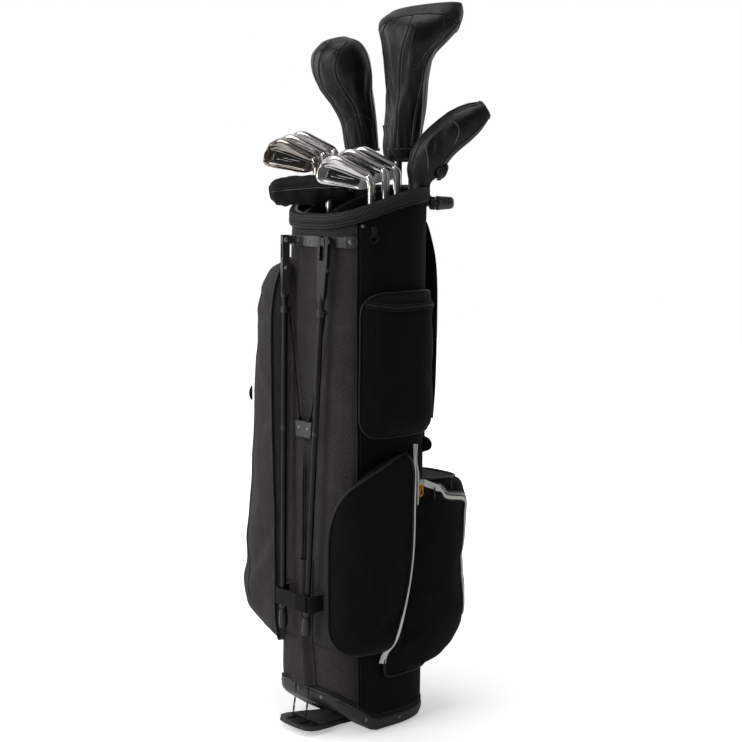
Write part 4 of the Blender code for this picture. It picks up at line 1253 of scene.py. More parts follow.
def build_shoulder_strap():
    """Padded double strap: a crowned pad along the CAD strap's path, bound on both edges."""
    strap_tree = tree_of("shoulder_strap")
    low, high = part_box("shoulder_strap")

    def back_face(x, z):
        hit = strap_tree.ray_cast(Vector((x, high.y + 0.05, z)), Vector((0, -1, 0)))[0]
        return None if hit is None else hit.y

    half = []
    for z in [low.z + (high.z - 0.030 - low.z) * s for s in shares(9)]:
        columns = [high.x + 0.002 - 0.001 * step for step in range(90)]
        inside = [x for x in columns if back_face(x, z) is not None]
        if not inside:
            continue
        right = inside[0]
        past = [x for x in columns if x < right and back_face(x, z) is None]
        centre_x = max((right + (past[0] if past else 0.0)) / 2, right - 0.0215)
        y = back_face(centre_x, z)
        if y is not None:
            half.append(Vector((centre_x, y, z)))
    top_z = high.z - 0.0215
    top_y = back_face(0.0, top_z) or half[-1].y
    bend = [Vector((half[-1].x * 0.66, (half[-1].y + top_y) / 2, top_z - 0.006)), Vector((0.0, top_y, top_z))]
    path = spline(half + bend + [Vector((-p.x, p.y, p.z)) for p in reversed(half + bend[:1])], 130)
    rows = []
    edges = ([], [])
    wide, thick = 0.0195, 0.0058
    for index, (point, along) in enumerate(zip(path, tangents(path))):
        normal = Vector((0, 1, 0))
        normal = (normal - along * normal.dot(along)).normalized()
        side = along.cross(normal).normalized()
        centre = point - normal * (thick + 0.0002)
        row = []
        for i in range(28):
            turn = 2 * math.pi * i / 28
            c, s = math.cos(turn), math.sin(turn)
            a = math.copysign(abs(c) ** 0.62, c) * wide
            b = math.copysign(abs(s) ** 0.72, s) * thick
            quilt = 1.0 + 0.09 * math.sin(index * 0.66) * (1 if s > 0 else 0)
            row.append(centre + side * a + normal * b * quilt)
        rows.append(row)
        edges[0].append(centre + side * wide)
        edges[1].append(centre - side * wide)
    pad = grid("shoulder_strap_pad", rows, NYLON, "bag", "webbing", True, True, 1)
    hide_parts("shoulder_strap")
    for label, edge in zip(("outer", "inner"), edges):
        tube("shoulder_strap_binding_" + label, edge, 0.0019, WEBBING, "bag", "webbing", 8)
    for label, sign in (("right", 1), ("left", -1)):
        lower = [Vector((half[0].x * sign, half[0].y, half[0].z - drop)) for drop in (0.0, 0.03, 0.06)]
        line = [Vector((p.x, skin(math.atan2(p.y, p.x), p.z).y + 0.003, p.z)) for p in lower]
        ribbon("strap_webbing_" + label, spline(line, 16), [Vector((0, 1, 0))] * 16, 0.024, 0.0016, WEBBING, "bag",
               "webbing")


def build_fittings():
    """Handle, D-ring, rivets and loops."""
    handle_low, handle_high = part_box("trunk_handle")
    handle = tree_of("trunk_handle")
    handle_z = (handle_low.z + handle_high.z) / 2
    bow = [outermost(handle, angle, handle_z, -0.0036) for angle in degrees(49.0, 105.0, 60)]
    bow = soften([p for p in bow if p is not None], 3)
    grip = [0.0070 + 0.0050 * abs(2 * i / (len(bow) - 1) - 1) ** 1.5 for i in range(len(bow))]
    grab = tube("trunk_handle_bow", bow, grip, GREY_PLASTIC, "bag", "grey_plastic", 24, 0.55, (0, 0, 1), power=2.1)
    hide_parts("trunk_handle")
    for label, angle in (("front", 47.0), ("back", 107.0)):
        turn = math.radians(angle)
        base = skin(turn, handle_z)
        away = away_at(turn)
        across = UP.cross(away)
        chunk = block(base + away * 0.0105, across, UP, away, (0.0095, 0.0108, 0.0062), 0.45)
        merge("handle_anchor_" + label, [chunk], DARK_PLASTIC, "bag", "black_plastic", 30)
        merge("handle_rivet_" + label, screw(base + away * 0.0166, away, 0.0034, 0.0012), RIVET_METAL, "bag",
              "wire_steel")
    turn = math.radians(332.0)
    away = away_at(turn)
    face = skin(turn, 0.829, 0.0035)
    ring_piece = [torus_chunk(face - UP * 0.004, away.cross(UP) * 0.3 + away, 0.0058, 0.0012, 32, 10)]
    merge("d_ring", ring_piece, WIRE_METAL, "bag", "wire_steel")
    loop = [face + UP * up + away * out for up, out in ((0.016, -0.0015), (0.008, 0.0004), (0.003, 0.0016),
                                                        (0.0012, 0.0034), (0.006, 0.0048), (0.015, 0.0010))]
    ribbon("d_ring_loop", spline(loop, 26), [away] * 26, 0.009, 0.0013, WEBBING, "bag", "webbing")
    turn = math.radians(323.0)
    rivet = dome(skin(turn, 0.846, 0.0004), away_at(turn), 0.0030, 0.0012, 18)
    merge("body_rivets", [rivet], RIVET_METAL, "bag", "wire_steel")
    for node in ("zip_pull_upper", "zip_pull_lower"):
        dress(node, DARK_PLASTIC, 0.0006)


def loop_tab(name, face, out, surface, count, half, reach, rise, droop, inner, outer, lean):
    """A folded strip standing off a face, reach out and rise high, its upper end drawn in by droop."""
    side = UP.cross(out) * half
    rows = []
    for share in shares(count):
        s, c = math.sin(math.pi * share), math.cos(math.pi * share)
        centre = face + out * (reach * s * (1 - droop * share)) - UP * rise * c
        normal = out * s * lean[0] - UP * c * lean[1]
        rows.append([centre - side - normal * inner, centre - side + normal * outer,
                     centre + side + normal * outer, centre + side - normal * inner])
    grid(name, rows, surface, "bag", "webbing", True, True, 0, 40)


def build_cords(ball, apparel):
    """Bright cord loop at the head of the ball pocket, its small tab, and the loop tab on the long pocket."""
    start = on_piece(ball.skin, [outermost(ball.tree, math.radians(20.0), 0.418)], 0.001)[0]
    away = plan_away(start)
    across = UP.cross(away)
    drop = [start + away * out - UP * down + across * side for out, down, side in (
        (0.0020, 0.0, 0.0), (0.0040, 0.008, -0.002), (0.0036, 0.019, -0.006), (0.0034, 0.024, -0.001),
        (0.0036, 0.019, 0.005), (0.0040, 0.007, 0.004), (0.0022, 0.0, 0.003))]
    tube("zip_cord_loop", spline(drop, 60), 0.0013, CORD, "bag", "webbing", 12)
    merge("zip_slider", [block(start + away * 0.0030, across, UP, away, (0.0052, 0.0044, 0.0016), 0.4),
                         block(start + away * 0.0044, across, UP, away, (0.0016, 0.0038, 0.0010), 0.4)],
          ZIP, "bag", "zip_metal", 35)
    turn = math.radians(47.0)
    loop_tab("ball_pocket_tab", skin(turn, 0.474), away_at(turn), NYLON, 12, 0.008, 0.0180, 0.0110, 0.45,
             0.0105, 0.0012, (1.0, 1.0))
    sides = [outermost(apparel.tree, math.radians(a), 0.552) for a in range(150, 238)]
    face = min((p for p in sides if p is not None), key=lambda p: p.dot(SCREEN_RIGHT))
    loop_tab("long_pocket_loop_tab", face, -SCREEN_RIGHT, WEBBING, 14, 0.0055, 0.0046, 0.0120, 0.0,
             0.0052, 0.0009, (0.9, 0.2))


# ---------------------------------------------------------------- clubs
IRONS = ("iron_1", "iron_2", "iron_3", "iron_4", "iron_5", "iron_6")


def head_frame(axis, toe_plan, lie_deg):
    """Directions of an upturned head: towards its toe, towards its sole, and square to both."""
    flat_toe = (toe_plan - axis * toe_plan.dot(axis)).normalized()
    lift = math.radians(90 - lie_deg)
    toe = flat_toe * math.cos(lift) + axis * math.sin(lift)
    sole = axis * math.cos(lift) - flat_toe * math.sin(lift)
    return toe, sole, sole.cross(toe)


def build_shaft(name, surface, slot, steps):
    """A tapered shaft, with steps down its length if it is steel, its ferrule and its grip."""
    start, end = axis_of(name + "_shaft")
    axis = (end - start).normalized()
    long = (end - start).length
    points, radii = [], []
    count = 16 if steps else 6
    for i in range(count + 1):
        t = i / count
        radius = 0.0074 + (0.0047 - 0.0074) * t
        if steps and i:
            points.append(start + axis * (long * t - 0.0006))
            radii.append(radii[-1])
        points.append(start + axis * (long * t + (0.0006 if steps and 0 < i < count else 0.0)))
        radii.append(radius)
    shaft = tube(name + "_shaft_steps", points, radii, surface, name, slot, 24, sharp=35)
    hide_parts(name + "_shaft")
    ferrule = [(-0.030, 0.0050), (-0.028, 0.0058), (-0.0230, 0.0062), (-0.0225, 0.0058), (-0.0215, 0.0058),
               (-0.0210, 0.0063), (-0.006, 0.0066), (-0.0005, 0.0066), (0.0008, 0.0060)]
    turned(name + "_ferrule", end, axis, ferrule, FERRULE, name, "black_plastic", 28, 35)
    low, high = axis_of(name + "_grip")
    grip = [(0.0, 0.0050), (0.0012, 0.0104), (0.0040, 0.0119), (0.020, 0.0116), (0.15, 0.0101), (0.255, 0.0088),
            (0.2605, 0.0084), (0.2618, 0.0072)]
    axis = (high - low).normalized()
    piece = turned(name + "_grip_rubber", low, axis, grip, RUBBER, name, "rubber_grip", 32, 45)
    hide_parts(name + "_grip")
    bands = [torus_chunk(low + axis * d, axis, r, 0.0005, 32, 6) for d, r in ((0.006, 0.0118), (0.030, 0.0115),
                                                                             (0.246, 0.0089))]
    merge(name + "_grip_rings", bands, DARK_THREAD, name, "rubber_grip")
    return end, axis


SOLE_DROP = 0.0685       # from the end of an iron's shaft to its sole
IRON_LEAN, IRON_LIE = 20.0, 62.0


def iron_sections(at):
    """Outlines of the blade, from its heel to its toe, each from (reach, height, front and rear thickness)."""
    rows = []
    blade = [(-0.0088, 0.0150, 0.0040, 0.0044), (-0.0080, 0.0200, 0.0056, 0.0062), (-0.0050, 0.0270, 0.0070, 0.0080),
             (0.0030, 0.0340, 0.0085, 0.0098), (0.0110, 0.0370, 0.0092, 0.0112), (0.0200, 0.0400, 0.0096, 0.0120),
             (0.0320, 0.0435, 0.0100, 0.0126), (0.0450, 0.0485, 0.0100, 0.0128), (0.0570, 0.0525, 0.0098, 0.0124),
             (0.0660, 0.0545, 0.0090, 0.0112), (0.0720, 0.0530, 0.0078, 0.0094), (0.0762, 0.0490, 0.0060, 0.0072),
             (0.0786, 0.0430, 0.0040, 0.0050), (0.0796, 0.0360, 0.0020, 0.0028)]
    rim, floor = 0.0042, 0.0012
    for reach, tall, front, rear in blade:
        drop = max(0.0, (reach - 0.060) / 0.0196) ** 2 * 0.020 + max(0.0, (0.004 - reach) / 0.0128) ** 2 * 0.011
        # the face from sole to top line, the top line, the cavity side, and the sole back to the face
        profile = [(-drop * (1 - share) - tall * share, -front * (0.62 - 0.34 * share) * 0.55)
                   for share in (0.0, 0.12, 0.30, 0.50, 0.70, 0.88, 1.0)]
        profile += [(-tall * 0.985 - 0.0012, 0.0006), (-tall * 0.94 - 0.0012, 0.0022)]
        for share, off in ((0.90, rim), (0.865, rim), (0.86, floor), (0.70, floor), (0.52, floor), (0.40, floor),
                           (0.38, rim + 0.0016), (0.28, rear * 0.62), (0.16, rear * 0.86)):
            if not 0.008 < reach < 0.068 and off <= rim + 0.0005:
                off = rim
            profile.append((-tall * share - drop * (1 - share), off * (0.6 + 0.4 * min(1.0, rear / 0.0112))))
        for share, off, rise in ((0.075, rear, 0.0), (0.03, rear * 0.99, 0.0), (0.0, rear * 0.86, 0.0006),
                                 (0.0, rear * 0.55, 0.0016), (0.0, rear * 0.22, 0.0018), (0.0, -0.0006, 0.0012),
                                 (0.0, -front * 0.24, 0.0004)):
            profile.append((-tall * share - drop - 0.0046 * (max(0.0, off) / rear) ** 2 + rise, off))
        rows.append([at(reach, down, off) for down, off in resample_profile(profile, 40)])
    return rows


def resample_profile(profile, count):
    """A closed outline as count points, even along its length."""
    closed = profile + [profile[0]]
    spans = [math.dist(a, b) for a, b in zip(closed, closed[1:])]
    total = sum(spans)
    found = []
    for k in range(count):
        want = total * k / count
        index = 0
        while index < len(spans) - 1 and want > spans[index]:
            want -= spans[index]
            index += 1
        a, b = closed[index], closed[index + 1]
        t = want / max(spans[index], 1e-9)
        found.append((a[0] + (b[0] - a[0]) * t, a[1] + (b[1] - a[1]) * t))
    return found


def build_iron(name, finish):
    end, axis = build_shaft(name, CHROME, "shaft_chrome", True)
    anchor = end + axis * SOLE_DROP
    toe, sole, back = head_frame(axis, -SCREEN_RIGHT, IRON_LIE)
    slope = math.tan(math.radians(IRON_LEAN)) * 0.5

    def at(reach, down, off):
        """A point of the head: along it, down towards the sole, and off its leaning middle plane."""
        return anchor + toe * reach + sole * down + back * (off - 0.0006 + (-down - 0.026) * slope)

    neck = [anchor + axis * down for down in (-0.0680, -0.0679, -0.0660, -0.0500, -0.0340, -0.0260)]
    neck += [anchor - axis * 0.0180, anchor - axis * 0.0110 + toe * 0.0030, anchor - axis * 0.0065 + toe * 0.0080]
    radii = [0.0046 + 0.0022 * min(1.0, i / 3) for i in range(28)] + [0.0066, 0.0064, 0.0060, 0.0055, 0.0048, 0.0040]
    # finish is the head's chrome; for iron_4 it is the copy with painted shade and dark reflection.
    tube(name + "_hosel", spline(neck, 34), radii, finish, name, "iron_chrome", 28)
    head = grid(name + "_blade", iron_sections(at), finish, name, "iron_chrome", True, True, 2, 70)
    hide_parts(name + "_head")

    outline = [(0.012, 0.0170), (0.030, 0.0200), (0.048, 0.0225), (0.060, 0.0245), (0.0635, 0.0300), (0.0610, 0.0400),
               (0.050, 0.0395), (0.034, 0.0345), (0.018, 0.0300), (0.011, 0.0260)]
    border = spline([at(r, -d, 0.0) for r, d in outline], 60, closed=True)
    centre = sum(border, Vector()) / len(border)
    rows = [[centre + (p - centre) * shrink + back * off for p in border] for shrink, off in
            ((1.0, 0.0008), (1.0, 0.0020), (0.965, 0.0026), (0.62, 0.0027), (0.30, 0.0028), (0.03, 0.0028))]
    grid(name + "_badge", rows, BADGE, name, "iron_chrome", True, True, 0, 30)
    # Two thin satin chrome strips slanted across the black badge: a painted highlight standing in for the badge's
    # diagonal glint.
    along = (toe * 0.96 - sole * 0.28).normalized()
    bars = [block(at(reach, down, 0.0029), along, along.cross(back), back, (long, wide, 0.0004), 0.4)
            for reach, down, long, wide in ((0.038, -0.0262, 0.0185, 0.0007), (0.044, -0.0318, 0.0130, 0.0004))]
    merge(name + "_badge_painted_highlight_strips", bars, SATIN_CHROME, name, "iron_chrome")
    grooves = [block(at(0.036, -0.010 - 0.0030 * step, -0.00335), toe, sole, back, (0.024, 0.00030, 0.00025), 0.4)
               for step in range(11)]
    merge(name + "_face_lines", grooves, SATIN_CHROME, name, "iron_chrome")


def build_wood(name, toe_plan, lie_deg, size, heel, setback=0.0, neck_drop=0.062):
    """A lacquered wood head inside its cover, with crown, sole plate and hosel."""
    end, axis = build_shaft(name, CARBON, "wood_shaft", False)
    anchor = end + axis * (neck_drop + 0.0005)
    toe, sole, back = head_frame(axis, toe_plan, lie_deg)
    half = [s / 2 for s in size]
    centre = anchor + toe * (half[0] - heel) - sole * half[1] * 0.8 + back * setback
    rows = []
    for i in range(1, 24):
        turn = math.pi * i / 24
        reach = -math.cos(turn)
        spread = math.sin(turn) ** 0.82
        row = []
        for k in range(36):
            around = 2 * math.pi * k / 36
            c, s = math.cos(around), math.sin(around)
            flat = 0.80 if s > 0 else 1.0
            front = 0.90 if c < 0 else 1.0
            row.append(centre + toe * half[0] * reach * 0.985 + back * half[2] * spread * c * front * 0.97
                       + sole * half[1] * spread * s * flat * 0.97)
        rows.append(row)
    head = grid(name + "_wood", rows, HEAD_PAINT, name, "wood_head", True, True, 1, 60)
    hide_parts(name + "_head")
    neck = [(-neck_drop, 0.0050), (-neck_drop + 0.001, 0.0058), (-neck_drop + 0.02, 0.0060), (-0.012, 0.0068),
            (-0.004, 0.0062)]
    turned(name + "_hosel", anchor, axis, neck, HEAD_PAINT, name, "wood_head", 28)
    plate = []
    for shrink, off in ((1.0, 0.0002), (0.96, 0.0010), (0.5, 0.0014), (0.05, 0.0015)):
        plate.append(ring(centre + sole * (half[1] * 0.80 * 0.97 * (1 - 0.10 * shrink ** 2) + off - 0.0012),
                          toe, back, half[0] * 0.42 * shrink, half[2] * 0.40 * shrink, 36))
    grid(name + "_sole_plate", plate, SATIN_CHROME, name, "wood_head", True, True, 0, 40)


def build_putter():
    end, axis = build_shaft("putter", CHROME, "shaft_chrome", False)
    anchor = end + axis * 0.0625
    toe, sole, back = head_frame(axis, -SCREEN_RIGHT, 92.0)
    rows = []
    for reach in (-0.0118, -0.0110, -0.008, 0.0, 0.030, 0.060, 0.068, 0.0708, 0.0716):
        pinch = 0.82 if reach < -0.0115 or reach > 0.0712 else 1.0
        plan = [(-0.0218, -0.0086), (-0.0216, 0.0010), (-0.0180, 0.0018), (-0.0090, 0.0024), (-0.0085, 0.0084),
                (-0.0010, 0.0088), (-0.0002, 0.0070), (-0.0002, -0.0070), (-0.0010, -0.0086), (-0.0110, -0.0088)]
        middle = anchor + toe * reach - sole * 0.011
        rows.append([middle + (sole * (d + 0.011) + back * w) * pinch for d, w in plan])
    head = grid("putter_blade", rows, SATIN_CHROME, "putter", "iron_chrome", True, True, 0, 25)
    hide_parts("putter_head")
    neck = [(-0.0620, 0.0050), (-0.0612, 0.0056), (-0.040, 0.0056), (-0.020, 0.0056), (-0.012, 0.0056)]
    turned("putter_neck", anchor, axis, neck, SATIN_CHROME, "putter", "iron_chrome", 24)


# ---------------------------------------------------------------- headcovers
class Cover:
    """A sewn leather cover: a smooth loft through stations, puffed as cloth, with an open neck.

    Each station holds how far it lies along across from the club's axis, its height, its half width in the
    plane of the bend and its half thickness.
    """

    def __init__(self, name, club, across, stations, surface, slot, rows=46, columns=64, power=2.0, folds=0.0012,
                 pressure=2.0, cap=0.0035, tip_rise=0.12, tilts=None):
        self.club, self.body = club, club + "_cover"
        start, end = axis_of(club + "_shaft")
        axis = (end - start).normalized()
        anchor = start + axis * ((stations[0][1] - start.z) / axis.z)
        anchor.z = 0.0
        self.normal = UP.cross(across)
        centres = [anchor + across * s + UP * z for s, z, _, _ in stations]
        widths = [Vector((w, t, 0.0)) for _, _, w, t in stations]
        self.centres = spline(centres, rows)
        self.sizes = [(v.x, v.y) for v in spline(widths, rows)]
        turned = [along.cross(self.normal).normalized() for along in tangents(centres)]
        if tilts:
            turned = [-(across * math.cos(math.radians(t)) + UP * math.sin(math.radians(t))) for t in tilts]
        self.sides = [v.normalized() for v in spline(turned, rows)]
        self.count = columns
        points = []
        for index, (centre, side) in enumerate(zip(self.centres, self.sides)):
            wide, thick = self.sizes[index]
            row = ring(centre, side, self.normal, wide, thick, columns, power)
            outward = [(p - centre).normalized() for p in row]
            grow = min(1.0, index / 6.0)
            fine = [ripple((p.x * 1.6, p.y * 1.6, p.z * 0.5), folds * 0.7, 60.0, 6.0) for p in row]
            points.append([p + o * (ripple(p, folds, 26.0, 3.0) + f) * grow for p, o, f in zip(row, outward, fine)])
        tip = points[-1]
        middle = sum(tip, Vector()) / columns
        direction = tangents(self.centres)[-1]
        depth = self.sizes[-1][1] * tip_rise
        for shrink, lift in ((0.90, 0.45), (0.70, 0.80), (0.42, 0.96), (0.12, 1.0)):
            points.append([middle + (p - middle) * shrink + direction * depth * lift for p in tip])
        neck = points[0]
        away = [(p - self.centres[0]).normalized() for p in neck]
        down = tangents(self.centres)[0]
        inside = [[p - o * inset + down * depth for p, o in zip(neck, away)]
                  for inset, depth in ((0.0034, 0.060), (0.0030, 0.030), (0.0022, 0.0005))]
        self.rows = inside + points
        self.first = len(inside)
        self.piece = grid(name, self.rows, surface, self.body, slot, around=True)
        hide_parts(club + "_headcover")
        pinned = [i * columns + j for i in range(self.first + 3) for j in range(columns)]
        settle(self.piece, pressure, cap, pinned, 0.010, 12, 20.0)
        self.close_tip()
        smooth_levels(self.piece, 1)
        self.skin = tree_from(self.piece)

    def close_tip(self):
        mesh = bmesh.new()
        mesh.from_mesh(self.piece.data)
        last = (len(self.rows) - 1) * self.count
        edges = [e for e in mesh.edges if e.is_boundary and all(v.index >= last for v in e.verts)]
        bmesh.ops.holes_fill(mesh, edges=edges, sides=0)
        mesh.to_mesh(self.piece.data)
        mesh.free()

    def mark(self, turn, share):
        """A point on the loft: turn in degrees round it, share of the way from neck to tip."""
        at = share * (len(self.centres) - 1)
        low = min(int(at), len(self.centres) - 2)
        f = at - low
        centre = self.centres[low].lerp(self.centres[low + 1], f)
        wide, thick = (a + (b - a) * f for a, b in zip(self.sizes[low], self.sizes[low + 1]))
        side = self.sides[low].lerp(self.sides[low + 1], f).normalized()
        angle = math.radians(turn)
        return centre + side * wide * math.cos(angle) + self.normal * thick * math.sin(angle)

    def path(self, marks, count=80, lift=0.0):
        return on_piece(self.skin, spline([self.mark(t, s) for t, s in marks], count), lift)

    def sew(self, table):
        """Seams from (name, marks, radius, rows of stitches); a radius of None is a row of plain stitches."""
        slot = "cover_knit" if self.club == "putter" else "cover_leather"
        for label, marks, radius, stitched in table:
            name = "%s_cover_%s" % (self.club, label)
            if radius is None:
                path = self.path(marks, stitched or 90, 0.0003)
                stitches(name, path, self.body, STITCH, 0.62, 0.00040, THREAD, "cover_leather")
                continue
            path = self.path(marks, 90, 0.0002)
            tube(name, path, radius, PIPING, self.body, slot, 8)
            normals = [self.skin.find_nearest(point)[1] for point in path]
            for way in ((-1, 1) if stitched == 2 else ((stitched,) if stitched else ())):
                line = on_piece(self.skin, beside(path, normals, way * STITCH), 0.0003)
                stitches("%s_stitch_%s" % (name, "a" if way < 0 else "b"), line, self.body, STITCH, 0.62, 0.00038,
                         THREAD, slot)

    def neck_binding(self, radius=0.0022):
        edge = self.path([(t, 0.0) for t in range(0, 360, 12)] + [(359.9, 0.0)], 90, 0.0006)
        tube(self.club + "_cover_neck", looped(edge), radius, PIPING, self.body, "cover_leather", 10)


def ring_marks(share, sag=0.0):
    """Marks all the way round a cover, at one share of its length."""
    return [(10 * i, share + sag * math.cos(math.radians(10 * i))) for i in range(37)]


def build_covers():
    right = SCREEN_RIGHT
    driver = Cover("driver_cover_leather", "driver", right,
                   [(0.005, 0.950, 0.027, 0.024), (0.003, 0.973, 0.032, 0.029), (0.012, 1.035, 0.0355, 0.034),
                    (0.013, 1.085, 0.038, 0.044), (0.016, 1.120, 0.044, 0.053), (0.0265, 1.146, 0.0575, 0.058),
                    (0.033, 1.1685, 0.068, 0.056), (0.0375, 1.186, 0.0685, 0.045), (0.046, 1.2025, 0.057, 0.027)],
                   LEATHER, "cover_leather", 52, tip_rise=0.22, tilts=(0, 0, 0, 0, 0, 2, 3, 4, 7))
    fairway = Cover("fairway_cover_leather", "fairway", -right,
                    [(-0.003, 0.965, 0.029, 0.026), (0.004, 1.020, 0.031, 0.030), (0.014, 1.055, 0.038, 0.042),
                     (0.026, 1.088, 0.048, 0.053), (0.035, 1.116, 0.050, 0.054), (0.041, 1.139, 0.042, 0.048),
                     (0.044, 1.152, 0.024, 0.030)], LEATHER, "cover_leather")
    hybrid = Cover("hybrid_cover_leather", "hybrid", right,
                   [(0.0135, 0.890, 0.0175, 0.0155), (0.0130, 0.914, 0.0180, 0.0155), (0.0170, 0.932, 0.0265, 0.020),
                    (0.0270, 0.956, 0.0305, 0.027), (0.048, 0.982, 0.0300, 0.030), (0.074, 1.004, 0.0300, 0.031),
                    (0.098, 1.020, 0.0255, 0.026), (0.1205, 1.034, 0.0155, 0.015)], LEATHER, "cover_leather", 44, 48)
    putter = Cover("putter_cover_cloth", "putter", -right,
                   [(-0.046, 0.902, 0.012, 0.011), (-0.039, 0.903, 0.017, 0.017), (-0.018, 0.905, 0.021, 0.020),
                    (0.020, 0.904, 0.0235, 0.021), (0.060, 0.900, 0.025, 0.021), (0.084, 0.897, 0.022, 0.019),
                    (0.096, 0.895, 0.012, 0.012)], KNIT, "cover_knit", 56, 56, 2.2, 0.0048, 1.2, 0.004)
    return driver, fairway, hybrid, putter


def sew_driver(cover):
    """Turns: 270 faces the viewer, 180 is the right edge, 0 the left edge and 90 the back."""
    cover.sew((
        ("top_seam", [(178, 0.70), (205, 0.80), (240, 0.87), (275, 0.89), (315, 0.86), (352, 0.76)], 0.0013, 1),
        ("right_seam", [(205, 0.79), (214, 0.64), (224, 0.48), (232, 0.32), (236, 0.16), (238, 0.0)], 0.0013, -1),
        ("middle_seam", [(284, 0.885), (288, 0.70), (292, 0.50), (296, 0.30), (300, 0.0)], 0.0012, 2),
        ("front_stitch", [(238, 0.83), (232, 0.66), (240, 0.50), (256, 0.42),
                          (272, 0.46), (278, 0.62), (276, 0.84)], None, 0),
        ("left_seam", [(322, 0.85), (338, 0.68), (348, 0.50), (352, 0.30), (352, 0.0)], 0.0013, 1),
        ("shoulder_stitch", [(300, 0.83), (318, 0.70), (334, 0.56), (346, 0.46)], None, 0),
        ("neck_stitch_a", [(288, 0.03), (312, 0.14), (338, 0.24), (354, 0.30)], None, 0),
        ("neck_stitch_b", [(352, 0.05), (330, 0.16), (306, 0.25), (290, 0.32)], None, 0),
        ("back_seam", [(8, 0.76), (50, 0.86), (90, 0.89), (130, 0.85), (172, 0.72)], 0.0013, 1),
        ("back_middle", [(90, 0.88), (90, 0.6), (90, 0.3), (90, 0.0)], 0.0013, 2),
        ("hem_stitch", ring_marks(0.115), None, 160),
        ("cuff_stitch", ring_marks(0.03), None, 160),
    ))
    cover.neck_binding()


def sew_fairway(cover):
    """Turns: 90 faces the viewer, 180 is the left edge, 0 the right edge and 270 the back."""
    cover.sew((
        ("left_seam_a", [(120, 0.97), (146, 0.84), (158, 0.64), (164, 0.42), (160, 0.20), (156, 0.0)], 0.0013, 1),
        ("left_seam_b", [(100, 0.95), (126, 0.80), (142, 0.62), (149, 0.42), (146, 0.20), (143, 0.0)], 0.0013, 0),
        ("front_seam", [(60, 0.86), (86, 0.76), (104, 0.60), (104, 0.42), (92, 0.22), (84, 0.0)], 0.0012, 2),
        ("shoulder_stitch", [(146, 0.62), (122, 0.72), (92, 0.80), (58, 0.86), (26, 0.84)], None, 0),
        ("right_seam", [(30, 0.90), (24, 0.70), (22, 0.45), (26, 0.20), (28, 0.0)], 0.0013, -1),
        ("hem_stitch", [(168, 0.10), (130, 0.15), (92, 0.20), (50, 0.15), (12, 0.09)], None, 0),
        ("back_seam", [(200, 0.85), (240, 0.90), (280, 0.92), (320, 0.88), (350, 0.80)], 0.0013, 1),
        ("back_middle", [(270, 0.91), (270, 0.6), (270, 0.3), (270, 0.0)], 0.0013, 2),
    ))
    cover.neck_binding()


def sew_hybrid(cover):
    """Turns: 270 faces the viewer, 0 is the upper edge and 180 the lower edge."""
    cover.sew((
        ("upper_seam_a", [(336, 0.0), (340, 0.25), (340, 0.55), (334, 0.95)], 0.0012, 1),
        ("upper_seam_b", [(316, 0.0), (322, 0.25), (322, 0.55), (314, 0.95)], 0.0012, 0),
        ("lower_seam", [(214, 0.0), (214, 0.25), (216, 0.55), (222, 0.95)], 0.0012, -1),
        ("front_stitch", [(250, 0.30), (268, 0.40), (290, 0.46), (306, 0.48)], None, 0),
        ("front_stitch_b", [(232, 0.62), (256, 0.70), (284, 0.72), (308, 0.68)], None, 0),
        ("back_seam", [(90, 0.0), (90, 0.3), (90, 0.6), (90, 0.95)], 0.0013, 2),
    ))
    cover.neck_binding(0.0018)
    rim = cover.path(ring_marks(0.985), 70, 0.0004)
    tube("hybrid_cover_tip_binding", rim, 0.0013, PIPING, cover.body, "cover_leather", 8)
    folds = []
    for turn, share, radius, height in ((184, 0.395, 0.0135, 0.0080), (204, 0.365, 0.0115, 0.0068),
                                        (176, 0.335, 0.0100, 0.0060)):
        base = cover.path([(turn, share), (turn, share + 0.01)], 2)[0]
        folds.append(dome(base - UP * 0.001, base - cover.centres[int(share * 43)], radius, height, 24))
    merge("hybrid_cover_bunched_fold", folds, LEATHER, cover.body, "cover_leather")


def sew_putter(cover):
    """Turns: 90 faces the viewer and 0 is the top."""
    cover.sew((
        ("front_seam", [(66, 0.04), (74, 0.25), (78, 0.5), (74, 0.75), (66, 0.95)], 0.0010, 1),
        ("top_seam", [(352, 0.04), (350, 0.3), (350, 0.6), (352, 0.95)], 0.0010, 0),
        ("end_seam", ring_marks(0.90, 0.01), 0.0011, 0),
        ("heel_seam", ring_marks(0.10, 0.01), 0.0011, 0),
        ("back_seam", [(262, 0.06), (268, 0.5), (262, 0.92)], 0.0010, 0),
    ))
    path = cover.path([(28, 0.06), (30, 0.3), (30, 0.6), (26, 0.90)], 60, 0.0)
    normals = [cover.skin.find_nearest(p)[1] for p in path]
    ribbon("putter_cover_top_strip", path, normals, 0.0062, 0.0009, WEBBING, cover.body, "cover_knit")


# ---------------------------------------------------------------- studio
def area_light(name, place, aim, size, power, colour=(1, 1, 1)):
    data = bpy.data.lights.new(name, "AREA")
    data.shape = "RECTANGLE"
    data.size, data.size_y = size
    data.energy = power
    data.color = colour
    made = bpy.data.objects.new(name, data)
    made.location = place
    made.rotation_euler = (Vector(aim) - Vector(place)).to_track_quat("-Z", "Y").to_euler()
    bpy.context.scene.collection.objects.link(made)


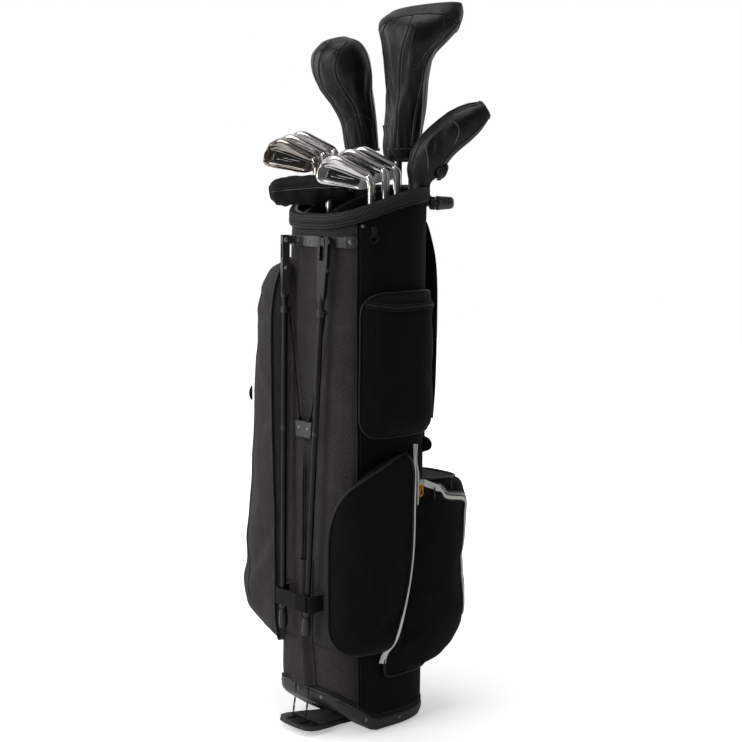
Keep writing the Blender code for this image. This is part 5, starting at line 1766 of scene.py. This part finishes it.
def build_studio():
    look = Look("pale_floor", (0.90, 0.90, 0.90), 0.9, **{"Emission Color": (1, 1, 1, 1)})
    place = look.node("ShaderNodeTexCoord").outputs["Object"]
    distance = look.node("ShaderNodeVectorMath", {0: place}, operation="LENGTH").outputs["Value"]
    camera_ray = look.node("ShaderNodeLightPath").outputs["Is Camera Ray"]
    look.drive(look.maths("MULTIPLY", look.ramp(distance, 0.15, 1.6, 0.42, 1.0), camera_ray), "Emission Strength")
    mesh = bpy.data.meshes.new("studio_floor")
    rim = [(6 * math.cos(2 * math.pi * i / 64), 6 * math.sin(2 * math.pi * i / 64), -0.0002) for i in range(64)]
    mesh.from_pydata(rim, [], [tuple(range(64))])
    mesh.materials.append(look.material)
    floor = bpy.data.objects.new("studio_floor", mesh)
    bpy.context.scene.collection.objects.link(floor)

    world = bpy.data.worlds.new("studio")
    bpy.context.scene.world = world
    world.use_nodes = True
    world.node_tree.nodes.clear()
    graph = Graph(world.node_tree)
    where = graph.node("ShaderNodeTexCoord").outputs["Generated"]
    sky = graph.node("ShaderNodeValToRGB", {0: graph.node("ShaderNodeSeparateXYZ", {0: where}).outputs["Z"]})
    stops = sky.color_ramp.elements
    stops[0].color = (0.30, 0.30, 0.30, 1)
    stops[1].color = (1, 1, 1, 1)
    for at, level in ((0.10, 0.10), (0.22, 0.75), (0.42, 0.12), (0.60, 0.95)):
        stops.new(at).color = (level, level * 0.985, level * 0.96, 1)
    behind = graph.node("ShaderNodeVectorMath", {0: where}, {1: tuple(-TOWARDS_VIEWER)}, operation="DOT_PRODUCT")
    bright = graph.ramp(behind.outputs["Value"], 0.20, 0.60)
    colour = graph.node("ShaderNodeMix", {"Factor": bright, 6: sky.outputs[0]}, {7: (1.0, 0.985, 0.96, 1)},
                        data_type="RGBA").outputs[2]
    level = graph.node("ShaderNodeMath", {0: bright}, {1: 0.60, 2: 0.22}, operation="MULTIPLY_ADD").outputs[0]
    soft = graph.node("ShaderNodeBackground", {"Color": colour, "Strength": level})
    plain = graph.node("ShaderNodeBackground", None, {"Color": (1, 1, 1, 1), "Strength": 1.0})
    camera_ray = graph.node("ShaderNodeLightPath").outputs["Is Camera Ray"]
    mixer = graph.node("ShaderNodeMixShader", {0: camera_ray, 1: soft.outputs[0], 2: plain.outputs[0]})
    graph.node("ShaderNodeOutputWorld", {0: mixer.outputs[0]})

    area_light("key", (-0.2, -3.0, 1.9), (0, 0, 0.6), (1.6, 2.4), 56, (1.0, 0.99, 0.97))
    area_light("top", (0.2, -0.3, 3.2), (0, 0, 0.8), (1.6, 1.6), 26)
    area_light("left_edge", (-2.4, -1.5, 1.3), (0, 0, 0.7), (0.7, 2.2), 26)
    area_light("right_fill", (2.8, 1.4, 1.6), (0, 0, 0.7), (0.5, 1.8), 3)

    bpy.context.scene.view_settings.view_transform = "Standard"
    data = bpy.data.cameras.new("camera")
    data.lens, data.sensor_width = CAMERA_LENS_MM, CAMERA_SENSOR_MM
    camera = bpy.data.objects.new("camera", data)
    camera.location = CAMERA_PLACE
    camera.rotation_euler = tuple(math.radians(a) for a in CAMERA_TURN)
    bpy.context.scene.collection.objects.link(camera)
    bpy.context.scene.camera = camera


def main():
    build_body()
    build_collar()
    dress("top_frame", BLACK_PLASTIC, 0.0005)
    dress("divider_panel", LINING)
    build_dividers()
    apparel, side, ball = build_pockets()
    build_ball_zip(ball)
    build_trim(side, ball)
    build_base()
    build_bracket()
    build_pedal()
    build_drive()
    build_legs()
    build_leg_strap()
    build_shoulder_strap()
    build_fittings()
    build_cords(ball, apparel)
    for name in IRONS:
        # iron_4's head gets the chrome copy with painted shade and dark reflection; the other irons get satin chrome.
        build_iron(name, PAINTED_SHADE_CHROME if name == "iron_4" else SATIN_CHROME)
    build_wood("driver", SCREEN_RIGHT, 50.0, (0.096, 0.052, 0.086), 0.022, 0.006, 0.062)
    build_wood("fairway", -SCREEN_RIGHT, 58.0, (0.080, 0.034, 0.048), 0.018, -0.010, 0.055)
    build_wood("hybrid", SCREEN_RIGHT, 50.0, (0.064, 0.024, 0.034), 0.006, 0.0, 0.034)
    build_putter()
    driver, fairway, hybrid, putter = build_covers()
    sew_driver(driver)
    sew_fairway(fairway)
    sew_hybrid(hybrid)
    sew_putter(putter)
    build_studio()


main()
